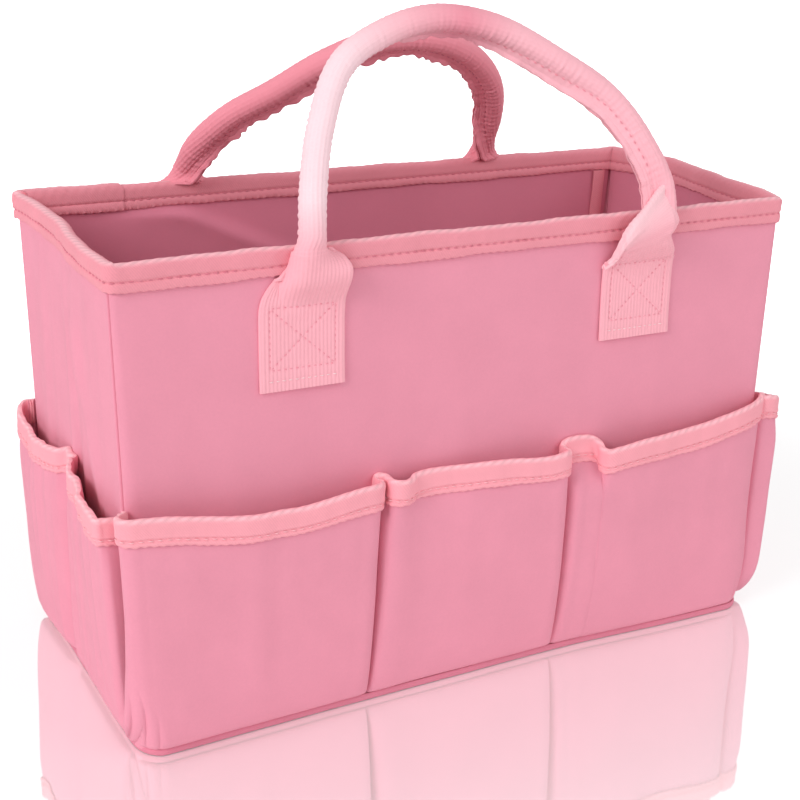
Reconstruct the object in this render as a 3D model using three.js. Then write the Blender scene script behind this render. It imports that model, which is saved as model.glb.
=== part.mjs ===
// Storage tote in pink woven fabric: a rectangular box bag with a bound rim, a band of pockets
// round all four sides and two carrying handles of folded webbing.
// Millimetres. X runs along the length, Y along the width and Z up. The front is at -Y.
// The origin is the centre of the base, on the surface that the tote stands on.
import * as THREE from 'three';

// Overall sizes, over the bindings
const RIM_LENGTH = 330;
const RIM_WIDTH = 140;
const FOOT_LENGTH = 322;
const FOOT_WIDTH = 153;
const HEIGHT = 211;
const RIM_CORNER_RADIUS = 3;
const FOOT_CORNER_RADIUS = 9;

// Plies of the walls and base, and the clearance between plies that touch
const CLEARANCE = 0.3;
const FABRIC = 0.8;
const BOARD = 1.8;
const LINING = 0.8;
const BASE_FABRIC = 1.0;
const BASE_BOARD = 2.0;
const SHARPEST_RADIUS = 0.3;

// Each end gusset wraps the corners and folds inwards a little along its middle crease
const FRONT_CORNER_SHARE = 0.3;
const SEAM_SHARE = 0.04;
const CREASE_DEPTH = 2;
const CREASE_REACH = 0.3;
const CREASE_GAP = 1;

// Bindings, welt and seam tapes
const BINDING = 1.2;
const BINDING_HEIGHT = 11.5;
const BINDING_ROUND = 0.8;
const WELT = 1.2;
const WELT_HEIGHT = 3.5;
const WELT_LIFT = 0.3;
const SEAM_TAPE = 1.8;
const SEAM_TAPE_WIDTH = 6.5;
const SEAM_TAPE_INSET = 1.2;
const BASE_TAPE = 1.2;
const BASE_TAPE_HEIGHT = 9;

// Pocket bands: one strip of fabric on each side, sewn down at its ends, dividers and foot
const POCKET_HEIGHT = 109;
const POCKET_TAPE = 1.0;
const POCKET_TAPE_HEIGHT = 11.5;
const FRONT_DIVIDER = 50;
const FRONT_POCKET_DEPTH = 11;
const END_POCKET_DEPTH = 9;
const POCKET_SAG = 3.5;
const POCKET_END = 0.985;
const POCKET_CROWN = 3.5;
const POCKET_FULLNESS = 0.3;

// Handles: flat webbing tabs on the panels, and a webbing arch folded round a soft core
const WEBBING = 1.6;
const WEBBING_WIDTH = 38;
const TAB_SPACING = 165;
const TAB_BOTTOM = 151;
const CORE_RADIUS = 3.9;
const BEAD_RADIUS = 1.2;
const HINGE_DROP = 1.5;
const HANDLE_RISE = 91;
const FRONT_LEAN_ANGLE = 20;
const BACK_LEAN_ANGLE = 38;
const FOLD_START = 3;
const FOLD_END = 28;
const FLANGE_SLOPE_ANGLE = 35;
const FLANGE_GAP = 0.4;

const PINK_FABRIC = { color: 0xe58ba4, roughness: 0.85, metalness: 0 };
const PINK_WEBBING = { color: 0xf6a9b8, roughness: 0.8, metalness: 0 };
const PINK_TAPE = { color: 0xf29aae, roughness: 0.82, metalness: 0 };
const PINK_LINING = { color: 0xc4607c, roughness: 0.9, metalness: 0 };
const GREY_BOARD = { color: 0xb9b4a8, roughness: 0.9, metalness: 0 };
const WHITE_CORE = { color: 0xf2eee8, roughness: 0.95, metalness: 0 };

const tote = new THREE.Group();
tote.name = 'storage_tote';

const lerp = THREE.MathUtils.lerp;
const smooth = THREE.MathUtils.smoothstep;
const radians = THREE.MathUtils.degToRad;

// Wall stack, as offsets outwards from the outer fabric's outer face
const FABRIC_PLY = [-FABRIC, 0];
const BOARD_PLY = [FABRIC_PLY[0] - CLEARANCE - BOARD, FABRIC_PLY[0] - CLEARANCE];
const LINING_PLY = [BOARD_PLY[0] - CLEARANCE - LINING, BOARD_PLY[0] - CLEARANCE];
const WALL_INSIDE = LINING_PLY[0];
const FOOT_EDGE = CLEARANCE + FABRIC + CLEARANCE + WELT;
const RIM_EDGE = CLEARANCE + BINDING;

// Levels
const WALL_FOOT = BASE_FABRIC + CLEARANCE;
const WALL_TOP = HEIGHT - BINDING - CLEARANCE;
const BINDING_FOOT = HEIGHT - BINDING_HEIGHT;
const BASE_BOARD_TOP = WALL_FOOT + BASE_BOARD;
const BASE_LINING_FOOT = BASE_BOARD_TOP + CLEARANCE;
const BASE_LINING_TOP = BASE_LINING_FOOT + LINING;
const BASE_TAPE_FOOT = BASE_LINING_TOP + CLEARANCE;
const BASE_TAPE_TOP = BASE_TAPE_FOOT + BASE_TAPE_HEIGHT;
const BAND_DROP = POCKET_TAPE + CLEARANCE;
const HINGE_HEIGHT = HEIGHT - HINGE_DROP;

const SIDES = ['front', 'right', 'back', 'left'];

function addPiece(name, geometry, finish) {
  const mesh = new THREE.Mesh(geometry, new THREE.MeshStandardMaterial(finish));
  mesh.name = name;
  tote.add(mesh);
}

function signedVolume(positions, faces) {
  let volume = 0;
  for (const [a, b, c] of faces) {
    volume += positions[a].dot(positions[b].clone().cross(positions[c])) / 6;
  }
  return volume;
}

function signedArea(points, corners) {
  const [a, b, c] = corners.map((corner) => points[corner]);
  return (b.x - a.x) * (c.y - a.y) - (c.x - a.x) * (b.y - a.y);
}

// End faces of a section whose two faces have matching points, joined like a ladder's rungs
function rungFaces(section) {
  const faces = [];
  for (let rung = 0; rung < section.length / 2 - 1; rung += 1) {
    const across = section.length - 1 - rung;
    faces.push([rung, rung + 1, across - 1]);
    faces.push([rung, across - 1, across]);
  }
  return faces;
}

// End faces of any other section
function filledFaces(section) {
  const outline = section.map(([u, v]) => new THREE.Vector2(u, v));
  const faces = THREE.ShapeUtils.triangulateShape(outline, []);
  return faces.map((face) => (signedArea(outline, face) > 0 ? face : [face[0], face[2], face[1]]));
}

// No end faces: the sweep returns to its start
const LOOPED = null;

// A closed solid swept through stations: section(station) gives counter-clockwise outline points
// [u, v], place(station, u, v) puts them in space, and endFaces(section) closes the two ends.
function sweep(stations, section, place, endFaces = rungFaces) {
  const positions = [];
  const faces = [];
  const count = section(stations[0]).length;
  for (const station of stations) {
    for (const [u, v] of section(station)) {
      positions.push(place(station, u, v));
    }
  }
  const spans = endFaces === LOOPED ? stations.length : stations.length - 1;
  for (let span = 0; span < spans; span += 1) {
    const near = span * count;
    const far = ((span + 1) % stations.length) * count;
    for (let corner = 0; corner < count; corner += 1) {
      const next = (corner + 1) % count;
      faces.push([near + corner, near + next, far + next]);
      faces.push([near + corner, far + next, far + corner]);
    }
  }
  if (endFaces !== LOOPED) {
    const last = (stations.length - 1) * count;
    for (const [a, b, c] of endFaces(section(stations[0]))) {
      faces.push([c, b, a]);
    }
    for (const [a, b, c] of endFaces(section(stations.at(-1)))) {
      faces.push([last + a, last + b, last + c]);
    }
  }
  const inward = signedVolume(positions, faces) < 0;
  const geometry = new THREE.BufferGeometry().setFromPoints(positions);
  geometry.setIndex(faces.flatMap(([a, b, c]) => (inward ? [a, c, b] : [a, b, c])));
  geometry.computeVertexNormals();
  return geometry;
}

// Half sizes and corner radius of the wall's outline, at an offset outwards and a height
function wallOutline(out, z) {
  const level = z / HEIGHT;
  const radius = lerp(FOOT_CORNER_RADIUS, RIM_CORNER_RADIUS, level) + out;
  return {
    length: lerp(FOOT_LENGTH / 2 - FOOT_EDGE, RIM_LENGTH / 2 - RIM_EDGE, level) + out,
    width: lerp(FOOT_WIDTH / 2 - FOOT_EDGE, RIM_WIDTH / 2 - RIM_EDGE, level) + out,
    radius: Math.max(radius, SHARPEST_RADIUS),
  };
}

function isEnd(side) {
  return side === 'left' || side === 'right';
}

function halfRun(side, out, z) {
  const outline = wallOutline(out, z);
  return (isEnd(side) ? outline.width : outline.length) - outline.radius;
}

// From distances along and out of a side, with the sides in order round the tote
function turned(side, along, depth, z) {
  const angle = SIDES.indexOf(side) * Math.PI / 2;
  return new THREE.Vector3(along, -depth, z).applyAxisAngle(new THREE.Vector3(0, 0, 1), angle);
}

// A point of a wall. Along the straight run t goes from -1 to 1, and beyond that round the corner
// arc, to 2 at the next side.
function wallPoint(side, t, out, z) {
  const outline = wallOutline(out, z);
  const reach = isEnd(side) ? outline.length : outline.width;
  const run = halfRun(side, out, z);
  const arc = Math.max(Math.abs(t) - 1, 0) * Math.PI / 2;
  const straight = THREE.MathUtils.clamp(t, -1, 1);
  const crease = isEnd(side) ? CREASE_DEPTH * Math.max(1 - Math.abs(t) / CREASE_REACH, 0) : 0;
  const along = straight * run + Math.sign(t) * outline.radius * Math.sin(arc);
  const depth = reach - outline.radius + outline.radius * Math.cos(arc) - crease;
  return turned(side, along, depth, z);
}

function placeOnWall(side) {
  return (t, out, z) => wallPoint(side, t, out, z);
}

function cornerShare(side) {
  return (isEnd(side) ? 1 - FRONT_CORNER_SHARE : FRONT_CORNER_SHARE) - SEAM_SHARE;
}

function creaseStations(side) {
  return isEnd(side) ? [-CREASE_REACH, 0, CREASE_REACH] : [];
}

function wrappedStations(side, inner) {
  const share = cornerShare(side);
  return [-1 - share, -1 - share / 2, -1, ...inner, 1, 1 + share / 2, 1 + share];
}

function plySection(ply, foot, top) {
  return () => [[ply[1], foot], [ply[1], top], [ply[0], top], [ply[0], foot]];
}

function flatPly(name, side, ply, stations, finish) {
  const section = plySection(ply, WALL_FOOT, WALL_TOP);
  addPiece(name, sweep(stations, section, placeOnWall(side)), finish);
}

function outerFabric() {
  flatPly('front_panel', 'front', FABRIC_PLY, wrappedStations('front', []), PINK_FABRIC);
  flatPly('back_panel', 'back', FABRIC_PLY, wrappedStations('back', []), PINK_FABRIC);
  for (const side of ['left', 'right']) {
    const stations = wrappedStations(side, creaseStations(side));
    flatPly(`${side}_gusset`, side, FABRIC_PLY, stations, PINK_FABRIC);
  }
}

function stiffeners() {
  flatPly('front_board', 'front', BOARD_PLY, [-1, 1], GREY_BOARD);
  flatPly('back_board', 'back', BOARD_PLY, [-1, 1], GREY_BOARD);
  const split = CREASE_GAP / (RIM_WIDTH / 2);
  const halves = [[-1, -CREASE_REACH, -split], [split, CREASE_REACH, 1]];
  flatPly('left_board_rear', 'left', BOARD_PLY, halves[0], GREY_BOARD);
  flatPly('left_board_front', 'left', BOARD_PLY, halves[1], GREY_BOARD);
  flatPly('right_board_front', 'right', BOARD_PLY, halves[0], GREY_BOARD);
  flatPly('right_board_rear', 'right', BOARD_PLY, halves[1], GREY_BOARD);
}

function linings() {
  for (const side of SIDES) {
    const stations = [-1, ...creaseStations(side), 1];
    flatPly(`${side}_lining`, side, LINING_PLY, stations, PINK_LINING);
  }
}

const CORNER_STEPS = 5;

// Stations all the way round, each a side and its t
function ringStations() {
  const stations = [];
  for (const side of SIDES) {
    for (const t of [-1, ...creaseStations(side)]) {
      stations.push({ side, t });
    }
    for (let step = 0; step < CORNER_STEPS; step += 1) {
      stations.push({ side, t: 1 + step / CORNER_STEPS });
    }
  }
  return stations;
}

function placeOnRing(station, out, z) {
  return wallPoint(station.side, station.t, out, z);
}

// A flat plate that fills the wall's outline at an offset outwards
function plate(out, foot, top) {
  const outline = ringStations().map((station) => placeOnRing(station, out, foot));
  const shape = new THREE.Shape(outline.map((point) => new THREE.Vector2(point.x, point.y)));
  const geometry = new THREE.ExtrudeGeometry(shape, { depth: top - foot, bevelEnabled: false });
  return geometry.translate(0, 0, foot);
}

function base() {
  const inside = WALL_INSIDE - CLEARANCE;
  addPiece('base_panel', plate(CLEARANCE + FABRIC, 0, BASE_FABRIC), PINK_FABRIC);
  addPiece('base_board', plate(inside, WALL_FOOT, BASE_BOARD_TOP), GREY_BOARD);
  addPiece('base_lining', plate(inside, BASE_LINING_FOOT, BASE_LINING_TOP), PINK_LINING);
}

function rimBinding() {
  const outer = CLEARANCE + BINDING;
  const inner = WALL_INSIDE - CLEARANCE - BINDING;
  const section = [
    [outer, BINDING_FOOT],
    [outer, HEIGHT - BINDING_ROUND],
    [outer - BINDING_ROUND, HEIGHT],
    [inner + BINDING_ROUND, HEIGHT],
    [inner, HEIGHT - BINDING_ROUND],
    [inner, BINDING_FOOT],
    [inner + BINDING, BINDING_FOOT],
    [inner + BINDING, HEIGHT - BINDING],
    [outer - BINDING, HEIGHT - BINDING],
    [outer - BINDING, BINDING_FOOT],
  ];
  addPiece('rim_binding', sweep(ringStations(), () => section, placeOnRing, LOOPED), PINK_TAPE);
}

function baseWelt() {
  const ply = [FOOT_EDGE - WELT, FOOT_EDGE];
  const section = plySection(ply, WELT_LIFT, WELT_HEIGHT);
  addPiece('base_welt', sweep(ringStations(), section, placeOnRing, LOOPED), PINK_FABRIC);
}

function baseSeamTape() {
  const ply = [WALL_INSIDE - CLEARANCE - BASE_TAPE, WALL_INSIDE - CLEARANCE];
  const section = plySection(ply, BASE_TAPE_FOOT, BASE_TAPE_TOP);
  addPiece('base_seam_tape', sweep(ringStations(), section, placeOnRing, LOOPED), PINK_TAPE);
}

// The bound seam allowance of each corner lies on the long wall's lining, beside the corner
function cornerSeamTapes() {
  const ply = [WALL_INSIDE - CLEARANCE - SEAM_TAPE, WALL_INSIDE - CLEARANCE];
  const section = plySection(ply, BASE_TAPE_TOP + CLEARANCE, BINDING_FOOT - CLEARANCE);
  for (const side of ['front', 'back']) {
    for (const end of ['left', 'right']) {
      const towards = (side === 'front') === (end === 'right') ? 1 : -1;
      const edge = SEAM_TAPE + SEAM_TAPE_INSET;
      const place = (inset, out, z) => {
        const along = towards * (halfRun(side, WALL_INSIDE, z) - inset);
        return turned(side, along, wallOutline(out, z).width, z);
      };
      const geometry = sweep([edge, edge + SEAM_TAPE_WIDTH], section, place);
      addPiece(`${side}_${end}_seam_tape`, geometry, PINK_TAPE);
    }
  }
}

function pocketEdges(side) {
  if (isEnd(side)) {
    return [-POCKET_END, 0, POCKET_END];
  }
  const divider = FRONT_DIVIDER / halfRun(side, 0, POCKET_HEIGHT);
  return [-POCKET_END, -divider, divider, POCKET_END];
}

function pocketStations(side) {
  const edges = pocketEdges(side);
  const shares = [0, 0.06, 0.16, 0.34, 0.66, 0.84, 0.94];
  const stations = [];
  for (let pocket = 0; pocket < edges.length - 1; pocket += 1) {
    for (const share of shares) {
      stations.push(lerp(edges[pocket], edges[pocket + 1], share));
    }
  }
  return [...stations, edges.at(-1)];
}

// The crown of a pocket, from 0 where the band is sewn down to 1 in the pocket's middle
function pocketCrown(side, t) {
  const edges = pocketEdges(side);
  const pocket = edges.findIndex((edge, place) => t >= edge && t <= edges[place + 1]);
  if (pocket < 0) {
    return 0;
  }
  const across = (t - edges[pocket]) / (edges[pocket + 1] - edges[pocket]);
  return 1 - Math.abs(2 * across - 1) ** POCKET_CROWN;
}

function pocketTop(side, t) {
  return POCKET_HEIGHT - POCKET_SAG * pocketCrown(side, t);
}

// The band swells from the welt's top. These shares of its height there each have a row of corners.
const SWELL_FOOT = WELT_HEIGHT + CLEARANCE;
const SWELL_LEVELS = [0, 0.04, 0.13, 0.4, 0.88, 1];

// Offset of the pocket band's inner face from the wall
function bandInside(side, t, z) {
  const swell = (z - SWELL_FOOT) / (POCKET_HEIGHT - BAND_DROP - SWELL_FOOT);
  const level = THREE.MathUtils.clamp(swell, 0, 1);
  const held = lerp(CLEARANCE, CLEARANCE + POCKET_TAPE + CLEARANCE, level);
  const depth = isEnd(side) ? END_POCKET_DEPTH : FRONT_POCKET_DEPTH;
  return held + depth * pocketCrown(side, t) * level ** POCKET_FULLNESS;
}

function pocketBand(side) {
  const stations = wrappedStations(side, pocketStations(side));
  const section = (t) => {
    const top = pocketTop(side, t) - BAND_DROP;
    const heights = [WALL_FOOT, ...SWELL_LEVELS.map((level) => lerp(SWELL_FOOT, top, level))];
    const inner = heights.map((z) => [bandInside(side, t, z), z]);
    const outer = heights.map((z) => [bandInside(side, t, z) + FABRIC, z]);
    return [...outer, ...inner.reverse()];
  };
  addPiece(`${side}_pocket_band`, sweep(stations, section, placeOnWall(side)), PINK_FABRIC);
}

function pocketTape(side) {
  const stations = wrappedStations(side, pocketStations(side));
  const section = (t) => {
    const high = pocketTop(side, t);
    const low = high - POCKET_TAPE_HEIGHT;
    const top = bandInside(side, t, high);
    const foot = bandInside(side, t, low);
    return [
      [foot + FABRIC + BAND_DROP, low],
      [top + FABRIC + BAND_DROP, high],
      [top - BAND_DROP, high],
      [foot - BAND_DROP, low],
      [foot - CLEARANCE, low],
      [top - CLEARANCE, high - POCKET_TAPE],
      [top + FABRIC + CLEARANCE, high - POCKET_TAPE],
      [foot + FABRIC + CLEARANCE, low],
    ];
  };
  addPiece(`${side}_pocket_tape`, sweep(stations, section, placeOnWall(side)), PINK_TAPE);
}

// Offset of the handle's hinge line, just outside the tab that laps over the rim binding
const TAB_LAP = CLEARANCE + BINDING + CLEARANCE;
const HINGE_OUT = TAB_LAP + WEBBING + BEAD_RADIUS + CLEARANCE / 3;

function handleTabs(side) {
  const stepFoot = BINDING_FOOT - CLEARANCE - WEBBING / 2;
  const stepTop = BINDING_FOOT - CLEARANCE;
  const bead = [3, 2, 1, 0, -1, -2].map((eighth) => {
    const angle = eighth * Math.PI / 4;
    return [HINGE_OUT + BEAD_RADIUS * Math.cos(angle), HINGE_HEIGHT + BEAD_RADIUS * Math.sin(angle)];
  });
  const section = [
    [CLEARANCE, TAB_BOTTOM],
    [CLEARANCE + WEBBING, TAB_BOTTOM],
    [CLEARANCE + WEBBING, stepFoot],
    [TAB_LAP + WEBBING, stepTop],
    [TAB_LAP + WEBBING, HINGE_HEIGHT - 2 * BEAD_RADIUS],
    ...bead.reverse(),
    [TAB_LAP, HINGE_HEIGHT - BEAD_RADIUS],
    [TAB_LAP, stepTop],
    [CLEARANCE, stepFoot - WEBBING / 2],
  ];
  const place = (along, out, z) => turned(side, along, wallOutline(out, z).width, z);
  for (const end of ['left', 'right']) {
    const towards = (side === 'front') === (end === 'right') ? 1 : -1;
    const middle = towards * TAB_SPACING / 2;
    const edges = [middle - WEBBING_WIDTH / 2, middle + WEBBING_WIDTH / 2];
    addPiece(`${side}_handle_${end}_tab`, sweep(edges, () => section, place, filledFaces), PINK_WEBBING);
  }
}

// Centreline of the folded webbing round its core: half an arc, a slope that closes the fold and
// the sewn flange. Each entry is a length and the turn made along it.
const FOLD_RADIUS = CORE_RADIUS + CLEARANCE + WEBBING / 2;
const ARC_TURN = Math.PI / 2 + radians(FLANGE_SLOPE_ANGLE);
const SLOPE_LENGTH = (FOLD_RADIUS * Math.cos(radians(FLANGE_SLOPE_ANGLE)) - (WEBBING + FLANGE_GAP) / 2)
  / Math.sin(radians(FLANGE_SLOPE_ANGLE));
const FLANGE_LENGTH = WEBBING_WIDTH / 2 - FOLD_RADIUS * ARC_TURN - SLOPE_LENGTH;
const ARC_STEPS = 4;

function foldedHalf(fold) {
  const turns = [];
  for (let step = 0; step < ARC_STEPS; step += 1) {
    turns.push([FOLD_RADIUS * ARC_TURN / ARC_STEPS, ARC_TURN / ARC_STEPS]);
  }
  turns.push([SLOPE_LENGTH, 0]);
  turns.push([FLANGE_LENGTH, 0]);
  const points = [new THREE.Vector2(0, 0)];
  let heading = 0;
  turns.forEach(([length, turn], place) => {
    heading += turn * fold / 2;
    if (place === turns.length - 1) {
      heading -= radians(FLANGE_SLOPE_ANGLE) * fold;
    }
    const step = new THREE.Vector2(Math.cos(heading), Math.sin(heading)).multiplyScalar(length);
    points.push(points.at(-1).clone().add(step));
    heading += turn * fold / 2;
  });
  return points.map((point) => new THREE.Vector2(point.x, point.y - FOLD_RADIUS * fold));
}

// Outline of the webbing's section: across its width, and in depth towards the flange
function webbingSection(fold) {
  const half = foldedHalf(fold);
  const mirrored = half.slice(1).map((point) => new THREE.Vector2(-point.x, point.y)).reverse();
  const line = [...mirrored, ...half];
  const sides = [-1, 1].map((face) => line.map((point, place) => {
    const before = line[Math.max(place - 1, 0)];
    const after = line[Math.min(place + 1, line.length - 1)];
    const heading = after.clone().sub(before).normalize();
    return [point.x - face * heading.y * WEBBING / 2, point.y + face * heading.x * WEBBING / 2];
  }));
  return [...sides[0], ...sides[1].reverse()];
}

// Each handle's arch, from its left foot to its right foot as seen from the front: shares of half
// the tab spacing and of the rise. The turn of the flange about the arch is in degrees, with 0
// towards the inside of the arch and 90 towards the inside of the tote.
const ARCHES = {
  front: {
    lean: FRONT_LEAN_ANGLE,
    route: [[-0.995, 0.06], [-0.97, 0.1], [-0.93, 0.27], [-0.85, 0.53], [-0.66, 0.83], [-0.45, 0.935],
      [-0.17, 1], [0.15, 0.965], [0.55, 0.78], [0.84, 0.54], [1, 0.29], [1.04, 0.17], [1.005, 0.06]],
    flange: [[0, 90], [0.14, 60], [0.5, 15], [0.86, 0], [1, 90]],
  },
  back: {
    lean: BACK_LEAN_ANGLE,
    route: [[-1, 0.06], [-0.995, 0.12], [-0.985, 0.22], [-0.85, 0.45], [-0.6, 0.64], [-0.36, 0.83],
      [-0.04, 0.97], [0.26, 0.96], [0.52, 0.86], [0.81, 0.6], [0.925, 0.32], [0.95, 0.17], [0.995, 0.06]],
    flange: [[0, 90], [0.14, 25], [0.5, 10], [0.86, 0], [1, 90]],
  },
};

function archCurve(side) {
  const start = BEAD_RADIUS + CLEARANCE;
  const foot = TAB_SPACING / 2;
  const route = ARCHES[side].route.map(([across, up]) => [across * foot, up * HANDLE_RISE]);
  const points = [[-foot, start], ...route, [foot, start]];
  return new THREE.CatmullRomCurve3(points.map(([across, up]) => new THREE.Vector3(across, up, 0)));
}

function turnAt(keys, share) {
  const after = Math.max(keys.findIndex(([place]) => place >= share), 1);
  const [from, fromTurn] = keys[after - 1];
  const [to, toTurn] = keys[after];
  return radians(lerp(fromTurn, toTurn, smooth(share, from, to)));
}

// The arch's own plane leans over the tote about the hinge line: across stays along X, up runs
// up the leaning plane, and in points out of the plane towards the inside of the tote.
function archPoint(side, across, up, inwards) {
  const lean = radians(ARCHES[side].lean);
  const outwards = side === 'front' ? -1 : 1;
  const hinge = outwards * (wallOutline(0, HINGE_HEIGHT).width + HINGE_OUT);
  const y = hinge - outwards * (up * Math.sin(lean) + inwards * Math.cos(lean));
  const z = HINGE_HEIGHT + up * Math.cos(lean) - inwards * Math.sin(lean);
  return new THREE.Vector3(across, y, z);
}

// How far the webbing is folded, from 0 at a flat foot to 1 round the core
function foldAt(side, share) {
  const fromFoot = Math.min(share, 1 - share) * archCurve(side).getLength();
  return smooth(fromFoot, FOLD_START, FOLD_END);
}

// The flat feet stay square to the hinge line, and the folded webbing is square to the arch
function archFrame(side, share) {
  const curve = archCurve(side);
  const upright = new THREE.Vector3(0, share < 0.5 ? 1 : -1, 0);
  const tangent = upright.lerp(curve.getTangentAt(share), foldAt(side, share)).normalize();
  const inside = new THREE.Vector3(tangent.y, -tangent.x, 0);
  return { middle: curve.getPointAt(share), inside, turn: turnAt(ARCHES[side].flange, share) };
}

function placeOnArch(side) {
  return (share, width, depth) => {
    const { middle, inside, turn } = archFrame(side, share);
    const inPlane = depth * Math.cos(turn) + width * Math.sin(turn);
    const inwards = depth * Math.sin(turn) - width * Math.cos(turn);
    const point = middle.clone().addScaledVector(inside, inPlane);
    return archPoint(side, point.x, point.y, inwards);
  };
}

const FOOT_STEPS = 7;
const ARCH_STEPS = 17;

function archShares(length) {
  const shares = [];
  for (let step = 0; step < FOOT_STEPS; step += 1) {
    shares.push(FOLD_END * step / FOOT_STEPS / length);
  }
  const folded = FOLD_END / length;
  const middle = [];
  for (let step = 0; step <= ARCH_STEPS; step += 1) {
    middle.push(lerp(folded, 1 - folded, step / ARCH_STEPS));
  }
  return [...shares, ...middle, ...shares.map((share) => 1 - share).reverse()];
}

function handleWebbing(side) {
  const shares = archShares(archCurve(side).getLength());
  const section = (share) => webbingSection(foldAt(side, share));
  addPiece(`${side}_handle_webbing`, sweep(shares, section, placeOnArch(side)), PINK_WEBBING);
}

function handleCore(side) {
  const folded = FOLD_END / archCurve(side).getLength();
  const shares = [];
  for (let step = 0; step <= ARCH_STEPS; step += 1) {
    shares.push(lerp(folded, 1 - folded, step / ARCH_STEPS));
  }
  const circle = [];
  for (let corner = 0; corner < 8; corner += 1) {
    const angle = corner * Math.PI / 4;
    circle.push([CORE_RADIUS * Math.cos(angle), CORE_RADIUS * Math.sin(angle)]);
  }
  addPiece(`${side}_handle_core`, sweep(shares, () => circle, placeOnArch(side)), WHITE_CORE);
}

outerFabric();
stiffeners();
linings();
base();
rimBinding();
baseWelt();
baseSeamTape();
cornerSeamTapes();
SIDES.forEach(pocketBand);
SIDES.forEach(pocketTape);
for (const side of ['front', 'back']) {
  handleTabs(side);
  handleWebbing(side);
  handleCore(side);
}

export default tote;
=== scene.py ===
"""Looks of the storage tote: soft woven walls, pleated pockets, twill bindings and ribbed webbing handles."""
import math

import bpy
import numpy as np
from mathutils import Matrix, Vector


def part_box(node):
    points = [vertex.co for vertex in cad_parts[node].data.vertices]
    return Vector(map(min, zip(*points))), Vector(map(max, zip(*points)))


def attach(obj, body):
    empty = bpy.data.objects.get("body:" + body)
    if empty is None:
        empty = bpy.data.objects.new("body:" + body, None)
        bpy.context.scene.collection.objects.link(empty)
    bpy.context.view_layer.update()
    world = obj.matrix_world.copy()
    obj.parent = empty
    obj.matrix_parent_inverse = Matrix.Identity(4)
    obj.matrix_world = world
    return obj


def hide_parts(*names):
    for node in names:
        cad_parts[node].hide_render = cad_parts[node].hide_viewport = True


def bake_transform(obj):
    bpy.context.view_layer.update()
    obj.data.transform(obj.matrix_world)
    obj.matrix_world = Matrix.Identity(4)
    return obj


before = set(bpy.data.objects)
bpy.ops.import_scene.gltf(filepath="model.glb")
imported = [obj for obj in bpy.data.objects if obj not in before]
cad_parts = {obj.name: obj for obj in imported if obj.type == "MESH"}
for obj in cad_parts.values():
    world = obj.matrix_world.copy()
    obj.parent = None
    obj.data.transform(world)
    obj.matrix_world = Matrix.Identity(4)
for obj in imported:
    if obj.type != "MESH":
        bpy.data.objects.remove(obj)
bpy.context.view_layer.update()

# Sizes in millimetres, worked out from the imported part
TO_MM = 1000


def node_box(node):
    return [np.array(corner) * TO_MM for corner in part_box(node)]


RIM_LOW, RIM_HIGH = node_box("rim_binding")
TAB_LOW, TAB_HIGH = node_box("front_handle_right_tab")
HEIGHT = RIM_HIGH[2]
RIM_EDGE = 1.5
FOOT_EDGE = 2.6
RIM_HALF = RIM_HIGH[:2] - RIM_EDGE
FOOT_HALF = np.array([161.0, 76.5]) - FOOT_EDGE
RIM_CORNER_RADIUS = 3
FOOT_CORNER_RADIUS = 9
SHARPEST_RADIUS = 0.3
FABRIC_PLY = (-0.8, 0)
BOARD_PLY = (-1.9, -0.95)
LINING_PLY = (-2.65, -2.05)
WALL_FOOT = 1.3
WALL_TOP = HEIGHT - 1.5
BINDING_FOOT = RIM_LOW[2]
HINGE_HEIGHT = HEIGHT - 1.5
HINGE_OUT = 4.7
WEBBING_WIDTH = TAB_HIGH[0] - TAB_LOW[0]
WEBBING = 1.6
RIB = WEBBING_WIDTH / 22
TAB_MIDDLE = (TAB_HIGH[0] + TAB_LOW[0]) / 2
TAB_BOTTOM = TAB_LOW[2]
FRONT, RIGHT, BACK, LEFT = range(4)
SIDE_NAMES = ("front", "right", "back", "left")


def lerp(a, b, t):
    return a + (b - a) * t


def smooth(t, low, high):
    x = np.clip((np.asarray(t, float) - low) / (high - low), 0, 1)
    return x * x * (3 - 2 * x)


def bell(x, middle, width, power=2):
    """A hump of height 1 round a middle."""
    return np.exp(-(np.abs(x - middle) / width)**power)


def wave(x, pitch, phase=0):
    return np.sin(x * 2 * np.pi / pitch + phase)


def stack(*parts):
    """Arrays that broadcast, joined along one more axis."""
    return np.stack(np.broadcast_arrays(*parts), -1)


def spline(knots, values, t):
    """A smooth curve through values at rising knots, clamped at its ends."""
    knots = np.asarray(knots, float)
    values = np.asarray(values, float)
    flat = values.ndim == 1
    if flat:
        values = values[:, None]
    slopes = np.gradient(values, knots, axis=0)
    t = np.clip(np.asarray(t, float), knots[0], knots[-1])
    place = np.clip(np.searchsorted(knots, t, side="right") - 1, 0, len(knots) - 2)
    width = (knots[place + 1] - knots[place])[..., None]
    x = (t - knots[place])[..., None] / width
    curve = ((2 * x**3 - 3 * x**2 + 1) * values[place] + (x**3 - 2 * x**2 + x) * width * slopes[place]
             + (3 * x**2 - 2 * x**3) * values[place + 1] + (x**3 - x**2) * width * slopes[place + 1])
    return curve[..., 0] if flat else curve


def curve(rows, x):
    """A smooth curve through rows of (place, value)."""
    return spline(*zip(*rows), x)


def unit(vectors):
    """Vectors scaled to a length of 1."""
    return vectors / np.maximum(np.linalg.norm(vectors, axis=-1, keepdims=True), 1e-9)


def path_knots(points):
    """Distances along a path at each of its points."""
    steps = np.linalg.norm(np.diff(points, axis=0), axis=1)
    return np.concatenate([[0], np.cumsum(steps)])


def ripple(x, seed):
    """Soft unevenness from a few waves, between about -1 and 1. x is in millimetres."""
    waves = ((0.021, 1.0), (0.047, 0.6), (0.083, 0.4), (0.151, 0.2))
    total = sum(a * np.sin(x * f * 2 * np.pi / 2.2 + seed * (1.7 + k)) for k, (f, a) in enumerate(waves))
    return total / 1.6


# The walls

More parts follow.
